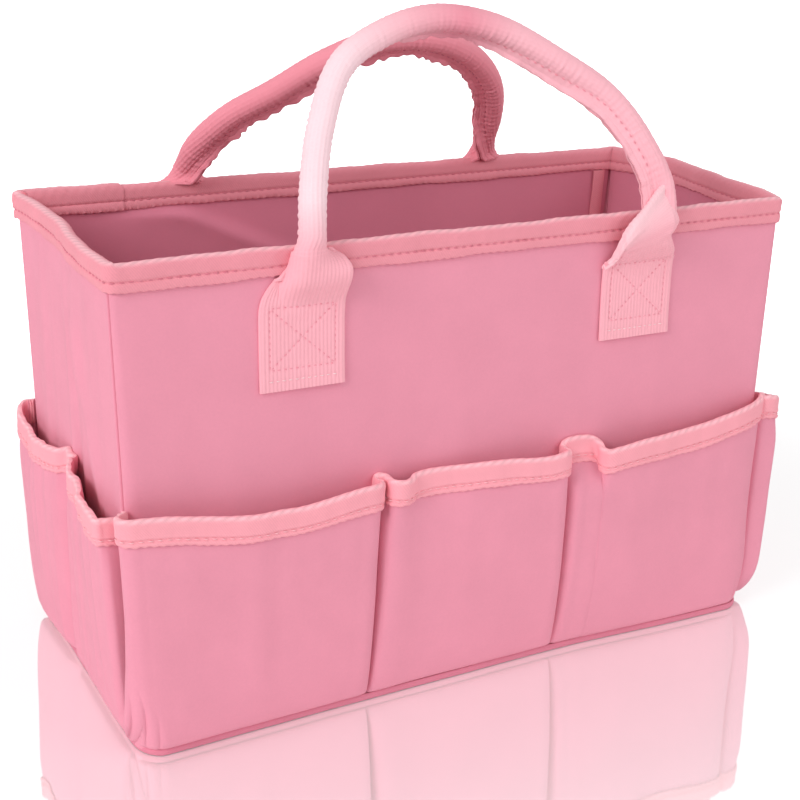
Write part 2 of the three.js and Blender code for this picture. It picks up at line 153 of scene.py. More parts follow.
# Where the long and the short walls' bows end, from the wall's middle
BOW_ENDS = (155.0, 68.0)
RIGHT_BOW = ((-68, 0), (-60, 2.5), (-48, 4.4), (-34, 4.4), (-22, 4.6), (-7, 6.9), (6, 8.9), (22, 11), (34, 10.6),
             (45, 8.6), (54, 5), (62, 1.2), (68, 0))
LEFT_BOW = ((-68, 0), (-52, -1.8), (-35, -2.7), (-15, -2.7), (0, -2.2), (12, -0.6), (35, 0.6), (52, 0.4), (68, 0))
FOOT_BOW = ((-160, 5), (-150, 4.6), (-107, 2.6), (-50, 0.4), (0, -1.2), (66, -2.6), (115, -0.5), (150, 0))
FOOT_BOW_HEIGHT = 34
CREASE_DEPTH = 3.4
CREASE_WIDTH = 6
CREASE_PLACE = 3
SLANT_DEPTH = 2.8
SLANT_WIDTH = 7


def end_folds(side, along, z):
    """The gussets' soft upright folds, and the slanting one in the left gusset's front half."""
    level = np.clip(z / HEIGHT, 0, 1)
    inside = smooth(BOW_ENDS[1] - np.abs(along), 0, 22) * np.sin(np.pi * level)**0.6
    crease = -CREASE_DEPTH * bell(along, CREASE_PLACE, CREASE_WIDTH, 1.3) * (1 - level**6 * 0.7)
    folds = crease + ripple(along * 2.4, 5 + side)
    if side == LEFT:
        slant = bell(along - 20, (150 - z) * 0.5, SLANT_WIDTH) * smooth(z, 80, 130) * smooth(200 - z, 0, 40)
        folds = folds + SLANT_DEPTH * slant
    return folds * inside


def wall_bow(side, along, z):
    """How far a wall's cloth stands outwards of the flat wall, in millimetres."""
    level = z / HEIGHT
    swell = 0.45 * ripple(along, 1) * np.sin(np.pi * np.clip(level, 0, 1)) * smooth(158 - np.abs(along), 0, 30)
    foot = curve(FOOT_BOW, along) * bell(z, 0, FOOT_BOW_HEIGHT)
    right = curve(RIGHT_BOW, along) * level**1.6 + end_folds(RIGHT, along, z)
    left = curve(LEFT_BOW, along) * level**2 + end_folds(LEFT, along, z)
    return np.choose(side, (swell + foot, right, swell, left))


def wall_point(side, t, out, z):
    """Points of a wall: t runs from -1 to 1 along the straight side, and on to 2 round the corner."""
    side, t, out, z = np.broadcast_arrays(side, t, np.asarray(out, float), np.asarray(z, float))
    level = z / HEIGHT
    radius = np.maximum(lerp(FOOT_CORNER_RADIUS, RIM_CORNER_RADIUS, level) + out, SHARPEST_RADIUS)
    length, width = (lerp(FOOT_HALF[k], RIM_HALF[k], level) + out for k in (0, 1))
    end = side % 2 == 1
    reach = np.where(end, length, width)
    run = np.where(end, width, length) - radius
    arc = np.maximum(np.abs(t) - 1, 0) * np.pi / 2
    straight = np.clip(t, -1, 1) * run
    turn = np.sign(t)
    next_side = (side + turn.astype(int)) % 4
    next_bow = wall_bow(next_side, -turn * np.choose(next_side % 2, BOW_ENDS), z)
    along = straight + turn * (radius + next_bow) * np.sin(arc)
    depth = reach - radius + radius * np.cos(arc) + wall_bow(side, straight, z) * np.cos(arc)
    return turned(side, along, depth, z)


def turned(side, along, depth, z):
    """Points from places along a side and distances from the tote's middle."""
    angle = side * np.pi / 2
    x = along * np.cos(angle) + depth * np.sin(angle)
    y = along * np.sin(angle) - depth * np.cos(angle)
    return np.stack([x, y, z], -1)


def half_run(side, z):
    """Half the straight length of a side at a height."""
    level = z / HEIGHT
    return lerp(FOOT_HALF, RIM_HALF, level)[side % 2] - lerp(FOOT_CORNER_RADIUS, RIM_CORNER_RADIUS, level)


# Meshes

EDGE_ROUND = 0.3


def add_object(name, data, finish, body="tote", seams=50, replaces=()):
    """A piece from millimetre points, faces, and each face corner's millimetre place in the cloth.
    Its finish is a material and a slot, and the slot is not used."""
    points, faces, uvs = data
    mesh = bpy.data.meshes.new(name)
    mesh.from_pydata((np.asarray(points) / TO_MM).tolist(), [], faces)
    layer = mesh.uv_layers.new(name="cloth")
    layer.data.foreach_set("uv", np.asarray(uvs, np.float32).ravel())
    mesh.materials.append(finish[0])
    mesh.validate()
    mesh.shade_smooth()
    mesh.set_sharp_from_angle(angle=math.radians(seams))
    piece = bpy.data.objects.new(name, mesh)
    bpy.context.scene.collection.objects.link(piece)
    if body:
        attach(piece, body)
    if replaces:
        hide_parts(*replaces)
    return piece


def signed_volume(points, faces):
    quads = np.asarray([f for f in faces if len(f) == 4])
    a, b, c, d = (points[quads[:, k]] for k in range(4))
    return np.einsum("ij,ij->i", a, np.cross(b, c)).sum() + np.einsum("ij,ij->i", a, np.cross(c, d)).sum()


def grid_mesh(points, uv, loop_rows=False, loop_cols=False, caps=False):
    """Faces and corner uvs of a grid of rows and columns. With caps, the looped columns of the first
    and last rows are closed like a ladder."""
    rows, cols = points.shape[:2]
    faces, corners = [], []
    for i in range(rows if loop_rows else rows - 1):
        for j in range(cols if loop_cols else cols - 1):
            i2, j2 = (i + 1) % rows, (j + 1) % cols
            faces.append((i * cols + j, i * cols + j2, i2 * cols + j2, i2 * cols + j))
            corners += [uv[i, j], uv[i, j + 1], uv[i + 1, j + 1], uv[i + 1, j]]
    if caps:
        for row, flip in ((0, True), (rows - 1, False)):
            for j in range(cols // 2 - 1):
                quad = [(row, j), (row, j + 1), (row, cols - 2 - j), (row, cols - 1 - j)]
                if not flip:
                    quad = quad[::-1]
                faces.append(tuple(r * cols + c for r, c in quad))
                corners += [uv[r, c] for r, c in quad]
    flat = points.reshape(-1, 3)
    if signed_volume(flat - flat.mean(0), faces) < 0:
        corner_lists, start = [], 0
        for face in faces:
            corner_lists.append(corners[start:start + len(face)][::-1])
            start += len(face)
        faces = [f[::-1] for f in faces]
        corners = [c for group in corner_lists for c in group]
    return flat, faces, corners


def open_uv(uv, loop_rows, loop_cols):
    """A uv grid with one more row and column where the grid loops."""
    if loop_cols:
        uv = np.concatenate([uv, 2 * uv[:, -1:] - uv[:, -2:-1]], 1)
    if loop_rows:
        uv = np.concatenate([uv, 2 * uv[-1:] - uv[-2:-1]], 0)
    return uv


def capped(data, loops, places):
    """A grid's mesh, closed by one flat face over each loop of points, the first of them turned round."""
    flat, faces, corners = data
    flipped = faces[0][0] != 0
    for loop, reverse in zip(loops, (True, False)):
        loop = loop[::-1] if reverse != flipped else loop
        faces.append(tuple(loop))
        corners += [places[i] for i in loop]
    return flat, faces, corners


def tube(points, uv):
    """A tube of looped columns, closed at its first and last rows."""
    rows, count = points.shape[:2]
    data = grid_mesh(points, open_uv(uv, False, True), loop_cols=True)
    return capped(data, (range(count), range((rows - 1) * count, rows * count)), np.repeat(uv[:, 0], count, 0))


def normals(points):
    return unit(np.cross(np.gradient(points, axis=0), np.gradient(points, axis=1)))


def beyond(a, b):
    """Points a rounded edge's reach past a, seen from b."""
    return a + unit(a - b) * EDGE_ROUND


def add_ply(name, outer, inner, uv, finish, replaced):
    """A thick cloth from its two faces, as grids [row][column], with rounded edges all round."""
    def extended(grid):
        start, end = beyond(mid[:1], mid[1:2]), beyond(mid[-1:], mid[-2:-1])
        return np.concatenate([start + (grid[:1] - mid[:1]) * 0.4, grid, end + (grid[-1:] - mid[-1:]) * 0.4])

    mid = (outer + inner) / 2
    outer, inner, mid = extended(outer), extended(inner), extended(mid)
    uv = np.concatenate([uv[:1], uv, uv[-1:]])
    ends = [beyond(mid[:, -1], mid[:, -2])[:, None], beyond(mid[:, 0], mid[:, 1])[:, None]]
    points = np.concatenate([outer, ends[0], inner[:, ::-1], ends[1]], 1)
    uvs = np.concatenate([uv, uv[:, -1:], uv[:, ::-1], uv[:, :1], uv[:, :1]], 1)
    flat, faces, corners = grid_mesh(points, uvs, loop_cols=True)
    rows, cols = points.shape[:2]
    half = outer.shape[1]
    flipped = faces[0][0] != 0
    for row in (0, rows - 1):
        for j in range(half - 1):
            quad = tuple(row * cols + k for k in (j, j + 1, 2 * half - 1 - j, 2 * half - j))
            faces.append(quad if (row == 0) == flipped else quad[::-1])
            corners += [uv[row, j]] * 4
    add_object(name, (flat, faces, corners), finish, replaces=(replaced,))


# Folded tapes. The binding's section is in places outwards of the rim and upwards of its top, the
# pocket tape's in drops below the band's edge and places outwards of it.

STITCH_PITCH = 3.8
ROLL_PITCH = 4.9
ROLL_SLANT = 1.4
# Reach of the slanting ribs on the rolled edges, and their rise as a share of it
BINDING_RIBS, TAPE_RIBS = 0.18, 0.16
RIB_RISE = 0.4
STITCH_DROP = 7.3
BINDING_PROFILE = (
    (0.35, -11.2), (0.9, -11.5), (1.45, -11.25), (1.6, -10.6), (1.6, -9.6), (1.55, -8.6), (1.4, -8.0), (1.2, -7.6),
    (1.1, -7.3), (1.2, -7.0), (1.45, -6.6), (1.65, -6), (1.6, -4.5), (1.65, -3.4), (1.7, -2.4), (1.55, -1.4),
    (1.15, -0.65), (0.6, -0.15), (-0.1, 0.1), (-1, 0.2), (-2, 0.1), (-2.8, -0.2), (-3.4, -0.8), (-3.8, -1.8),
    (-3.95, -3.2), (-3.95, -5.5), (-3.9, -6.6), (-3.55, -7.3), (-3.9, -8.0), (-4.0, -9.6), (-3.85, -11.2),
    (-3.4, -11.5), (-2.95, -11.2), (-2.8, -6), (-2.7, -2.4), (-2.2, -1.4), (-0.6, -1.3), (0.25, -2.2), (0.3, -6))
BINDING_CREST = 18
CREST_REACH = 2.4
TAPE_STITCH_DROP = 8.9
TAPE_PROFILE = (
    (11.2, 0.55), (11.6, 0.95), (11.3, 1.4), (10.7, 1.65), (10.1, 1.7), (9.75, 1.5), (9.5, 1.25), (8.9, 1.15),
    (8.3, 1.25), (8.05, 1.5), (7.7, 1.75), (7.2, 1.75), (6, 1.6), (4, 1.6), (2.4, 1.65), (1.2, 1.6), (0.4, 1.3),
    (-0.2, 0.75), (-0.4, 0), (-0.2, -0.75), (0.6, -1.25), (2, -1.4), (5, -1.4), (9.2, -1.3), (10.8, -1.3),
    (11.4, -0.9), (11.0, -0.55), (5, -0.5), (1, -0.5), (1, 0.5), (5, 0.5))
TAPE_CREST = 17


def dimples(s):
    """From 1 between the stitches of a row to 0 at their middles."""
    return 0.5 + 0.5 * np.cos(s * 2 * np.pi / STITCH_PITCH)


# Materials

def rgb(red, green, blue):
    """A linear colour from screen values of 0 to 255."""
    def linear(v):
        v = v / 255
        return v / 12.92 if v <= 0.04045 else ((v + 0.055) / 1.055)**2.4
    return (linear(red), linear(green), linear(blue), 1)


class Graph:
    """Builds the nodes of a material or world."""

    def __init__(self, owner):
        owner.use_nodes = True
        self.tree = owner.node_tree
        self.tree.nodes.clear()

    def node(self, kind, inputs, **settings):
        made = self.tree.nodes.new(kind)
        for key, value in settings.items():
            setattr(made, key, value)
        for key, value in inputs.items():
            if isinstance(value, bpy.types.NodeSocket):
                self.tree.links.new(value, made.inputs[key])
            else:
                made.inputs[key].default_value = value
        return made

    def math(self, operation, *terms):
        return self.node("ShaderNodeMath", dict(enumerate(terms)), operation=operation).outputs[0]

    def add(self, a, b):
        return self.math("ADD", a, b)

    def less(self, a, b):
        return self.math("SUBTRACT", a, b)

    def times(self, a, b):
        return self.math("MULTIPLY", a, b)

    def sine(self, x, pitch):
        return self.math("SINE", self.times(x, 2 * math.pi / pitch))

    def noise(self, place, scale, detail, roughness=0.5):
        inputs = {"Vector": place, "Scale": scale, "Detail": detail, "Roughness": roughness}
        return self.node("ShaderNodeTexNoise", inputs).outputs[0]

    def fade(self, value, start, end, low=0.0, high=1.0, kind="SMOOTHSTEP"):
        """Amounts from low to high while a value goes from start to end."""
        inputs = {"Value": value, "From Min": start, "From Max": end, "To Min": low, "To Max": high}
        return self.node("ShaderNodeMapRange", inputs, interpolation_type=kind).outputs[0]

    def place(self):
        """The object's own place and its three coordinates, in metres."""
        place = self.node("ShaderNodeTexCoord", {}).outputs["Object"]
        return place, self.node("ShaderNodeSeparateXYZ", {0: place}).outputs

    def surface(self, colour, value, height, strength, distance, **more):
        """A shader whose colour value brightens and whose relief height gives; more has its other inputs."""
        base = self.node("ShaderNodeHueSaturation", {"Value": value, "Color": colour})
        bump = self.node("ShaderNodeBump", {"Height": height, "Strength": strength, "Distance": distance})
        inputs = {key.replace("_", " "): amount for key, amount in more.items()}
        self.finish(self.node("ShaderNodeBsdfPrincipled",
                              {"Base Color": base.outputs[0], "Normal": bump.outputs[0], **inputs}))

    def finish(self, shader, kind="ShaderNodeOutputMaterial"):
        self.node(kind, {0: shader.outputs[0]})


PICK_PITCH = 0.55
# A painted highlight: the paler tint along the crest of a tape's rolled edge
PAINTED_CREST_HIGHLIGHT = rgb(255, 208, 214)


def cloth_material(name, slot, colour, threads, sheen=0.1, tone=0.05, painted_light_ramp=None, crest=None):
    """Woven cloth, and its slot. threads has its pattern, weave, twill or rib, the threads' pitch and their depth
    in millimetres. A list of colours at millimetres along v, when given, paints light and shade along the webbing,
    and crest is the v of a rolled edge, where a painted highlight lies as a paler tint and pale slanting dashes."""
    pattern, pitch, depth = threads
    material = bpy.data.materials.new(name)
    g = Graph(material)
    place = g.node("ShaderNodeUVMap", {}, uv_map="cloth").outputs[0]
    u, v, _ = g.node("ShaderNodeSeparateXYZ", {0: place}).outputs
    if pattern == "weave":
        height = g.times(g.sine(u, pitch), g.sine(v, pitch))
    elif pattern == "twill":
        height = g.sine(g.add(u, g.times(v, 0.7)), pitch)
    else:
        height = g.times(g.sine(v, PICK_PITCH), g.math("ABSOLUTE", g.sine(u, 2 * pitch)))
    cloud = g.noise(place, 0.035, 4.0, 0.6)
    slub = g.noise(place, 0.8, 2.0)
    tint = g.add(g.times(g.less(cloud, 0.5), tone * 2), g.times(g.less(slub, 0.5), tone))
    value = g.add(g.add(1.0, tint), g.times(height, 0.03))
    # Colours painted at places along v: painted highlight and painted shade along the webbing
    if painted_light_ramp:
        low, high = painted_light_ramp[0][0], painted_light_ramp[-1][0]
        shades = g.node("ShaderNodeValToRGB", {0: g.fade(v, low, high, kind="LINEAR")})
        stops = shades.color_ramp.elements
        for along, shade in painted_light_ramp[1:-1]:
            stops.new((along - low) / (high - low)).color = shade
        stops[0].color, stops[-1].color = painted_light_ramp[0][1], painted_light_ramp[-1][1]
        colour = shades.outputs[0]
    # Painted highlight along a rolled edge's crest: a paler tint and pale slanting dashes
    if crest is not None:
        near = g.fade(g.math("ABSOLUTE", g.less(v, crest)), 0.3, CREST_REACH, 1.0, 0.0)
        highlight_dash = g.sine(g.add(u, g.times(v, -ROLL_SLANT)), ROLL_PITCH)
        value = g.add(value, g.times(g.times(highlight_dash, near), 0.09))
        mix = g.node("ShaderNodeMix", {0: g.times(near, 0.5), 6: colour, 7: PAINTED_CREST_HIGHLIGHT}, data_type="RGBA")
        colour = mix.outputs[2]
    g.surface(colour, value, g.add(height, slub), 0.6, depth / TO_MM, Roughness=0.9, Sheen_Weight=sheen,
              Sheen_Roughness=0.5, Specular_IOR_Level=0.25)
    return material, slot


def solid_material(name, slot, colour, scale, roughness):
    """An inner piece: flat colour with fine procedural mottling."""
    material = bpy.data.materials.new(name)
    g = Graph(material)
    mottle = g.noise(g.place()[0], scale, 4.0)
    g.surface(colour, g.math("MULTIPLY_ADD", mottle, 0.2, 0.9), mottle, 0.3, 0.0003, Roughness=roughness)
    return material, slot


PLAIN = ("weave", 0.55, 0.06)
RIBS = ("rib", RIB, 0.06)
TWILL = ("twill", 1.1, 0.05)
TWIST = ("twill", 0.4, 0.05)
BINDING_PINK = rgb(237, 150, 163)
# TAB is the webbing's own colour. The others are painted light on the front handle: a painted highlight on the left
# leg and on the right foot's slanting fold, a paler painted half highlight along the arch, and painted shade at its
# top
TAB, PAINTED_FOLD_HIGHLIGHT, PAINTED_LEG_HIGHLIGHT, PAINTED_TOP_SHADE, PAINTED_HALF_HIGHLIGHT = (rgb(*c) for c in (
    (252, 178, 190), (255, 204, 212), (255, 219, 226), (240, 150, 167), (252, 186, 197)))
OUTER = cloth_material("outer_cloth", "outer_fabric", rgb(237, 152, 173), PLAIN, tone=0.06)
# Painted shade: the outer cloth, darkened for the welt round the foot
SHADED_WELT = cloth_material("welt_cloth_painted_shade", "outer_fabric", rgb(224, 132, 154), PLAIN)
# The lining: the outer cloth's colour made a little darker, which paints shade on the tote's inside
SHADED_LINING = cloth_material("lining_cloth", "lining_fabric", rgb(222, 134, 156), ("weave", 0.6, 0.06), sheen=0.05)
# Painted shade: the back handle's webbing is the front's, darkened to the tone it has in shade
SHADED_BACK_WEBBING = cloth_material("back_webbing_painted_shade", "webbing", rgb(243, 150, 165), RIBS, sheen=0.12)
# The front webbing: its colours along the ribbon paint the highlights and the shade of its arch and right foot
FRONT_WEBBING = cloth_material(
    "front_webbing_painted_light", "webbing", TAB, RIBS, sheen=0.15,
    painted_light_ramp=((0, TAB), (20, PAINTED_LEG_HIGHLIGHT), (80, PAINTED_LEG_HIGHLIGHT), (112, PAINTED_HALF_HIGHLIGHT), (140, PAINTED_TOP_SHADE), (165, PAINTED_HALF_HIGHLIGHT), (240, PAINTED_HALF_HIGHLIGHT), (278, TAB),
          (284, PAINTED_FOLD_HIGHLIGHT), (287, PAINTED_FOLD_HIGHLIGHT), (294, TAB)))
TAPE = cloth_material("twill_tape", "binding_tape", BINDING_PINK, TWILL, tone=0.08)
# The tapes' crests carry a painted highlight along the top of their rolled edges
RIM_TAPE = cloth_material("rim_twill_tape", "binding_tape", BINDING_PINK, TWILL, tone=0.08,
                          crest=path_knots(BINDING_PROFILE)[BINDING_CREST])
POCKET_TAPE = cloth_material("pocket_twill_tape", "binding_tape", rgb(250, 166, 178), TWILL, tone=0.07,
                             crest=path_knots(TAPE_PROFILE)[TAPE_CREST])
# Darker than the tape it sews: the darkening paints the shade in the stitches' dimples
SHADED_THREAD = cloth_material("sewing_thread_painted_shade", "binding_tape", rgb(224, 132, 150), TWIST)
POCKET_THREAD = cloth_material("pocket_thread", "binding_tape", rgb(255, 190, 199), TWIST)
TAB_THREAD = cloth_material("tab_thread", "webbing", rgb(244, 158, 173), TWIST)
PALE_THREAD = cloth_material("pale_thread", "webbing", rgb(255, 214, 218), TWIST)
FLANGE_THREAD = {"front": TAB_THREAD, "back": (SHADED_THREAD[0], "webbing")}
BOARD = solid_material("grey_board", "stiffener_board", rgb(205, 200, 190), 400, 0.8)
CORE = solid_material("filler_cord", "handle_core", rgb(244, 240, 234), 900, 0.95)


# Walls, boards and linings

TUCK = 1.5
SEAM_SHARE = 0.8
SEAM_GAP = 0.03
CORNER_RADIUS = 6
CORNER_ARC = CORNER_RADIUS * np.pi / 2
EDGE_STEPS = np.array([0.25, 0.7, 1.3])
BOARD_SPLIT = 1 / 70
# A slack fold in the back lining: place along the wall, height there, rise of its ridge, and depth
LINING_FOLD = (45, 176, 0.48, 4.6)


def along_stations(side, low, high, step=4):
    """t stations along a side, closer together round its corners."""
    run = half_run(side, HEIGHT / 2)
    straight = np.linspace(-1, 1, int(2 * run / step) + 1)
    before = np.linspace(low, -1, 6)[:-1] if low < -1 else []
    after = np.linspace(1, high, 6)[1:] if high > 1 else []
    return np.concatenate([before, straight, after])


def station_length(side, t):
    """Millimetres along the cloth of a side's stations."""
    run = half_run(side, HEIGHT / 2)
    return np.clip(t, -1, 1) * run + np.sign(t) * np.maximum(np.abs(t) - 1, 0) * CORNER_RADIUS * np.pi / 2


def outer_wall(side):
    """The outer cloth of a wall. Its edges turn in at the corner seams, which makes their grooves."""
    share = 1 + (1 - SEAM_SHARE if side % 2 else SEAM_SHARE) - SEAM_GAP
    extra = EDGE_STEPS / CORNER_ARC
    t = np.unique(np.concatenate([along_stations(side, -share, share), -share + extra, share - extra]))
    u = station_length(side, t)
    z = np.linspace(WALL_FOOT, WALL_TOP, 44)
    from_seam = np.minimum(u - u[0], u[-1] - u)
    tuck = TUCK - np.sqrt(np.maximum(TUCK**2 - np.maximum(TUCK - from_seam, 0)**2, 0))
    grids = [wall_point(side, t[:, None], out - tuck[:, None], z[None]) for out in FABRIC_PLY[::-1]]
    name = SIDE_NAMES[side] + ("_gusset" if side % 2 else "_panel")
    add_ply(name + "_cloth", *grids, stack(u[:, None], z[None]), OUTER, name)


def flat_piece(name, side, low, high, lining=False):
    """A board or a lining, between two shares of its side."""
    ply, finish, rows = (LINING_PLY, SHADED_LINING, 96) if lining else (BOARD_PLY, BOARD, 40)
    run = half_run(side, HEIGHT / 2)
    t = np.linspace(low, high, max(int((high - low) * run / 4), 3))[:, None]
    z = np.linspace(WALL_FOOT, WALL_TOP, rows)[None]
    slack = lining_slack(side, t * run, z) if lining else 0
    grids = [wall_point(side, t, out - slack, z) for out in ply[::-1]]
    add_ply(name + ("_cloth" if lining else "_sheet"), *grids, stack(t * run, z), finish, name)


def lining_slack(side, along, z):
    """How far the lining hangs loose inside the wall."""
    free = np.sin(np.pi * np.clip((z - 10) / 185, 0, 1)) * np.clip(1.05 - np.abs(along) / half_run(side, 100), 0, 1)
    fold = wave(along * 0.6 + z, 120, side) + 0.6 * ripple(along + 0.4 * z, side + 3)
    slack = (1.3 + 0.9 * fold) * np.clip(free, 0, 1)
    if side == BACK:
        start, height, rise, depth = LINING_FOLD
        below = height + rise * (along - start) - z
        ends = smooth(along, 15, 50) * smooth(125 - along, 0, 25) * smooth(200 - z, 0, 5)
        slack = slack + depth * smooth(below, -7, 0) * np.exp(-np.clip(below, 0, None) / 13) * ends
    return slack


def boards_and_linings():
    for side in (FRONT, BACK):
        flat_piece(SIDE_NAMES[side] + "_board", side, -1, 1)
    for side, first, second in ((LEFT, "rear", "front"), (RIGHT, "front", "rear")):
        flat_piece(f"{SIDE_NAMES[side]}_board_{first}", side, -1, -BOARD_SPLIT)
        flat_piece(f"{SIDE_NAMES[side]}_board_{second}", side, BOARD_SPLIT, 1)
    for side in range(4):
        flat_piece(SIDE_NAMES[side] + "_lining", side, -1, 1, lining=True)


# Rings: binding, welt and base seam tape

CORNER_RUN = 7
WELT_OUT, WELT_HEIGHT = 2.0, 1.65
WELT_HALF = (0.6, 1.6)
BASE_TAPE_PROFILE = ((-3.0, 4.8), (-2.85, 9), (-3.0, 13.2), (-3.4, 13.7), (-3.8, 13.2), (-4.1, 9), (-3.8, 4.8))
SEAM_TAPE_PROFILE = ((2, -2.9), (8.2, -2.8), (8.8, -3.5), (8.2, -4.3), (5, -4.6), (2.1, -4.3), (1.6, -3.6))
SEAM_TAPE_FOOT = 14
# Where the binding's two ends lap: from this station of the back side on, by this much
LAP_START, LAP_RISE = 0.72, 0.9


def ring_stations(step=3.0, corner=7):
    """Side, t and millimetres along the cloth of each station of a ring."""
    stations = []
    total = 0
    for side in range(4):
        run = half_run(side, HEIGHT)
        count = int(2 * run / step)
        stations += [(side, -1 + 2 * k / count, total + 2 * run * k / count) for k in range(count)]
        total += 2 * run
        stations += [(side, 1 + k / corner, total + CORNER_RUN * k / corner) for k in range(corner)]
        total += CORNER_RUN
    return [np.array(column) for column in zip(*stations)]


def add_ring(name, section, finish, step=3.0):
    """A closed ring. section gives offsets outwards and heights [station][corner], and v along them."""
    sides, ts, lengths = ring_stations(step)
    out, z, v = section(lengths, sides, ts)
    points = wall_point(sides[:, None], ts[:, None], out, z)
    data = grid_mesh(points, open_uv(stack(lengths[:, None], v), True, True), loop_rows=True, loop_cols=True)
    add_object(name + "_cloth", data, finish, replaces=(name,))


def binding_section(lengths, sides, ts):
    away, up = np.array(BINDING_PROFILE).T
    v = path_knots(BINDING_PROFILE)
    s = lengths[:, None]
    top = up > -1.5
    scallop = 0.2 * wave(s, STITCH_PITCH) + 0.45 * ripple(s, 2)
    twill = BINDING_RIBS * wave(s - v[None] * ROLL_SLANT, ROLL_PITCH)
    outer = (away > 0.9) & (up < -1)
    groove = np.abs(up + STITCH_DROP) < 0.4
    lap = np.where((sides == BACK) & (ts > LAP_START), LAP_RISE, 0)[:, None]
    out = away + np.where(outer & (up > -7.6), 0.25 * ripple(s * 2.1, 4), 0)
    out -= np.where(groove, np.sign(away) * 0.25 * dimples(s), 0)
    out += bell(v, v[BINDING_CREST - 3], 2.4) * twill * (away > -1)
    out -= bell(v, v[BINDING_CREST + 4], 2.4) * twill * (away < -1)
    out += np.where(away > -1.15, 0.5, -0.5) * lap
    z = up + np.where(up < -8.9, scallop, 0)
    z += np.where(top, 0.35 * ripple(s * 1.3, 6), 0) + bell(v, v[BINDING_CREST], 3) * twill * RIB_RISE
    z += 0.8 * top * lap
    return out, HEIGHT + z, v[None]


def welt_section(lengths, sides, ts):
    angle = np.linspace(0, 2 * np.pi, 11)[:-1]
    out = WELT_OUT + WELT_HALF[0] * np.cos(angle)[None] + 0.1 * ripple(lengths, 7)[:, None]
    z = WELT_HEIGHT + WELT_HALF[1] * np.sin(angle)[None]
    return out, z, (angle * 1.2)[None]


def base_tape_section(lengths, sides, ts):
    away, up = np.array(BASE_TAPE_PROFILE).T
    z = up + 0.25 * (up > 12) * ripple(lengths, 8)[:, None]
    return away, z, path_knots(BASE_TAPE_PROFILE)[None]


def corner_tape(side, sign):
    """The bound seam that stands in one inner corner."""
    along, away = np.array(SEAM_TAPE_PROFILE).T
    z = np.linspace(SEAM_TAPE_FOOT, BINDING_FOOT - 0.3, 60)[:, None]
    inset = along[None] + 0.35 * ripple(z * 2, side + sign) * (along > 8)
    half = half_run(side, 100)
    points = wall_point(side, sign * (half - 1 - inset) / half, away, z)
    end = "right" if (sign > 0) == (side == FRONT) else "left"
    name = f"{SIDE_NAMES[side]}_{end}_seam_tape"
    add_object(name + "_cloth", tube(points, stack(z, path_knots(SEAM_TAPE_PROFILE)[None])), TAPE, replaces=(name,))


def base_sheet(name, out, low, high, unevenness, finish):
    """A lightly uneven cloth under or inside the foot, from one height to another."""
    rings = np.linspace(0.02, 1, 18)
    sides, ts, _ = ring_stations(6.0, 4)
    edge = wall_point(sides, ts, out, 1.0)
    grid = edge[:, None, :2] * rings[None, :, None]
    rise = unevenness * ripple(grid[..., 0], 3) * ripple(grid[..., 1] * 1.7, 9) * (1 - rings[None]**4)
    top, bottom = (np.concatenate([grid, (z + np.maximum(rise, 0))[..., None]], -1) for z in (high, low))
    middle = (top[:, -1:] + bottom[:, -1:]) / 2
    middle[..., :2] *= 1 + EDGE_ROUND / 150
    points = np.concatenate([top, middle, bottom[:, ::-1]], 1)
    uv = points[..., :2]
    count, cols = points.shape[:2]
    centres = [range(first, count * cols, cols) for first in (0, cols - 1)]
    data = capped(grid_mesh(points, np.concatenate([uv, uv[:1]]), loop_rows=True), centres, uv.reshape(-1, 2))
    add_object(name + "_cloth", data, finish, replaces=(name,))


# Pockets. Each key is a place on the band's top edge: along the side, out from the wall, height,
# and the place along the side where that thread of the cloth meets the foot.

def pocket_keys(*rows):
    """Fills out rows of (along, out, height, along at the foot, out below the tape, sideways belly)."""
    return np.array([row + (row[1],) * (len(row) < 5) + (0,) * (len(row) < 6) for row in rows], float)


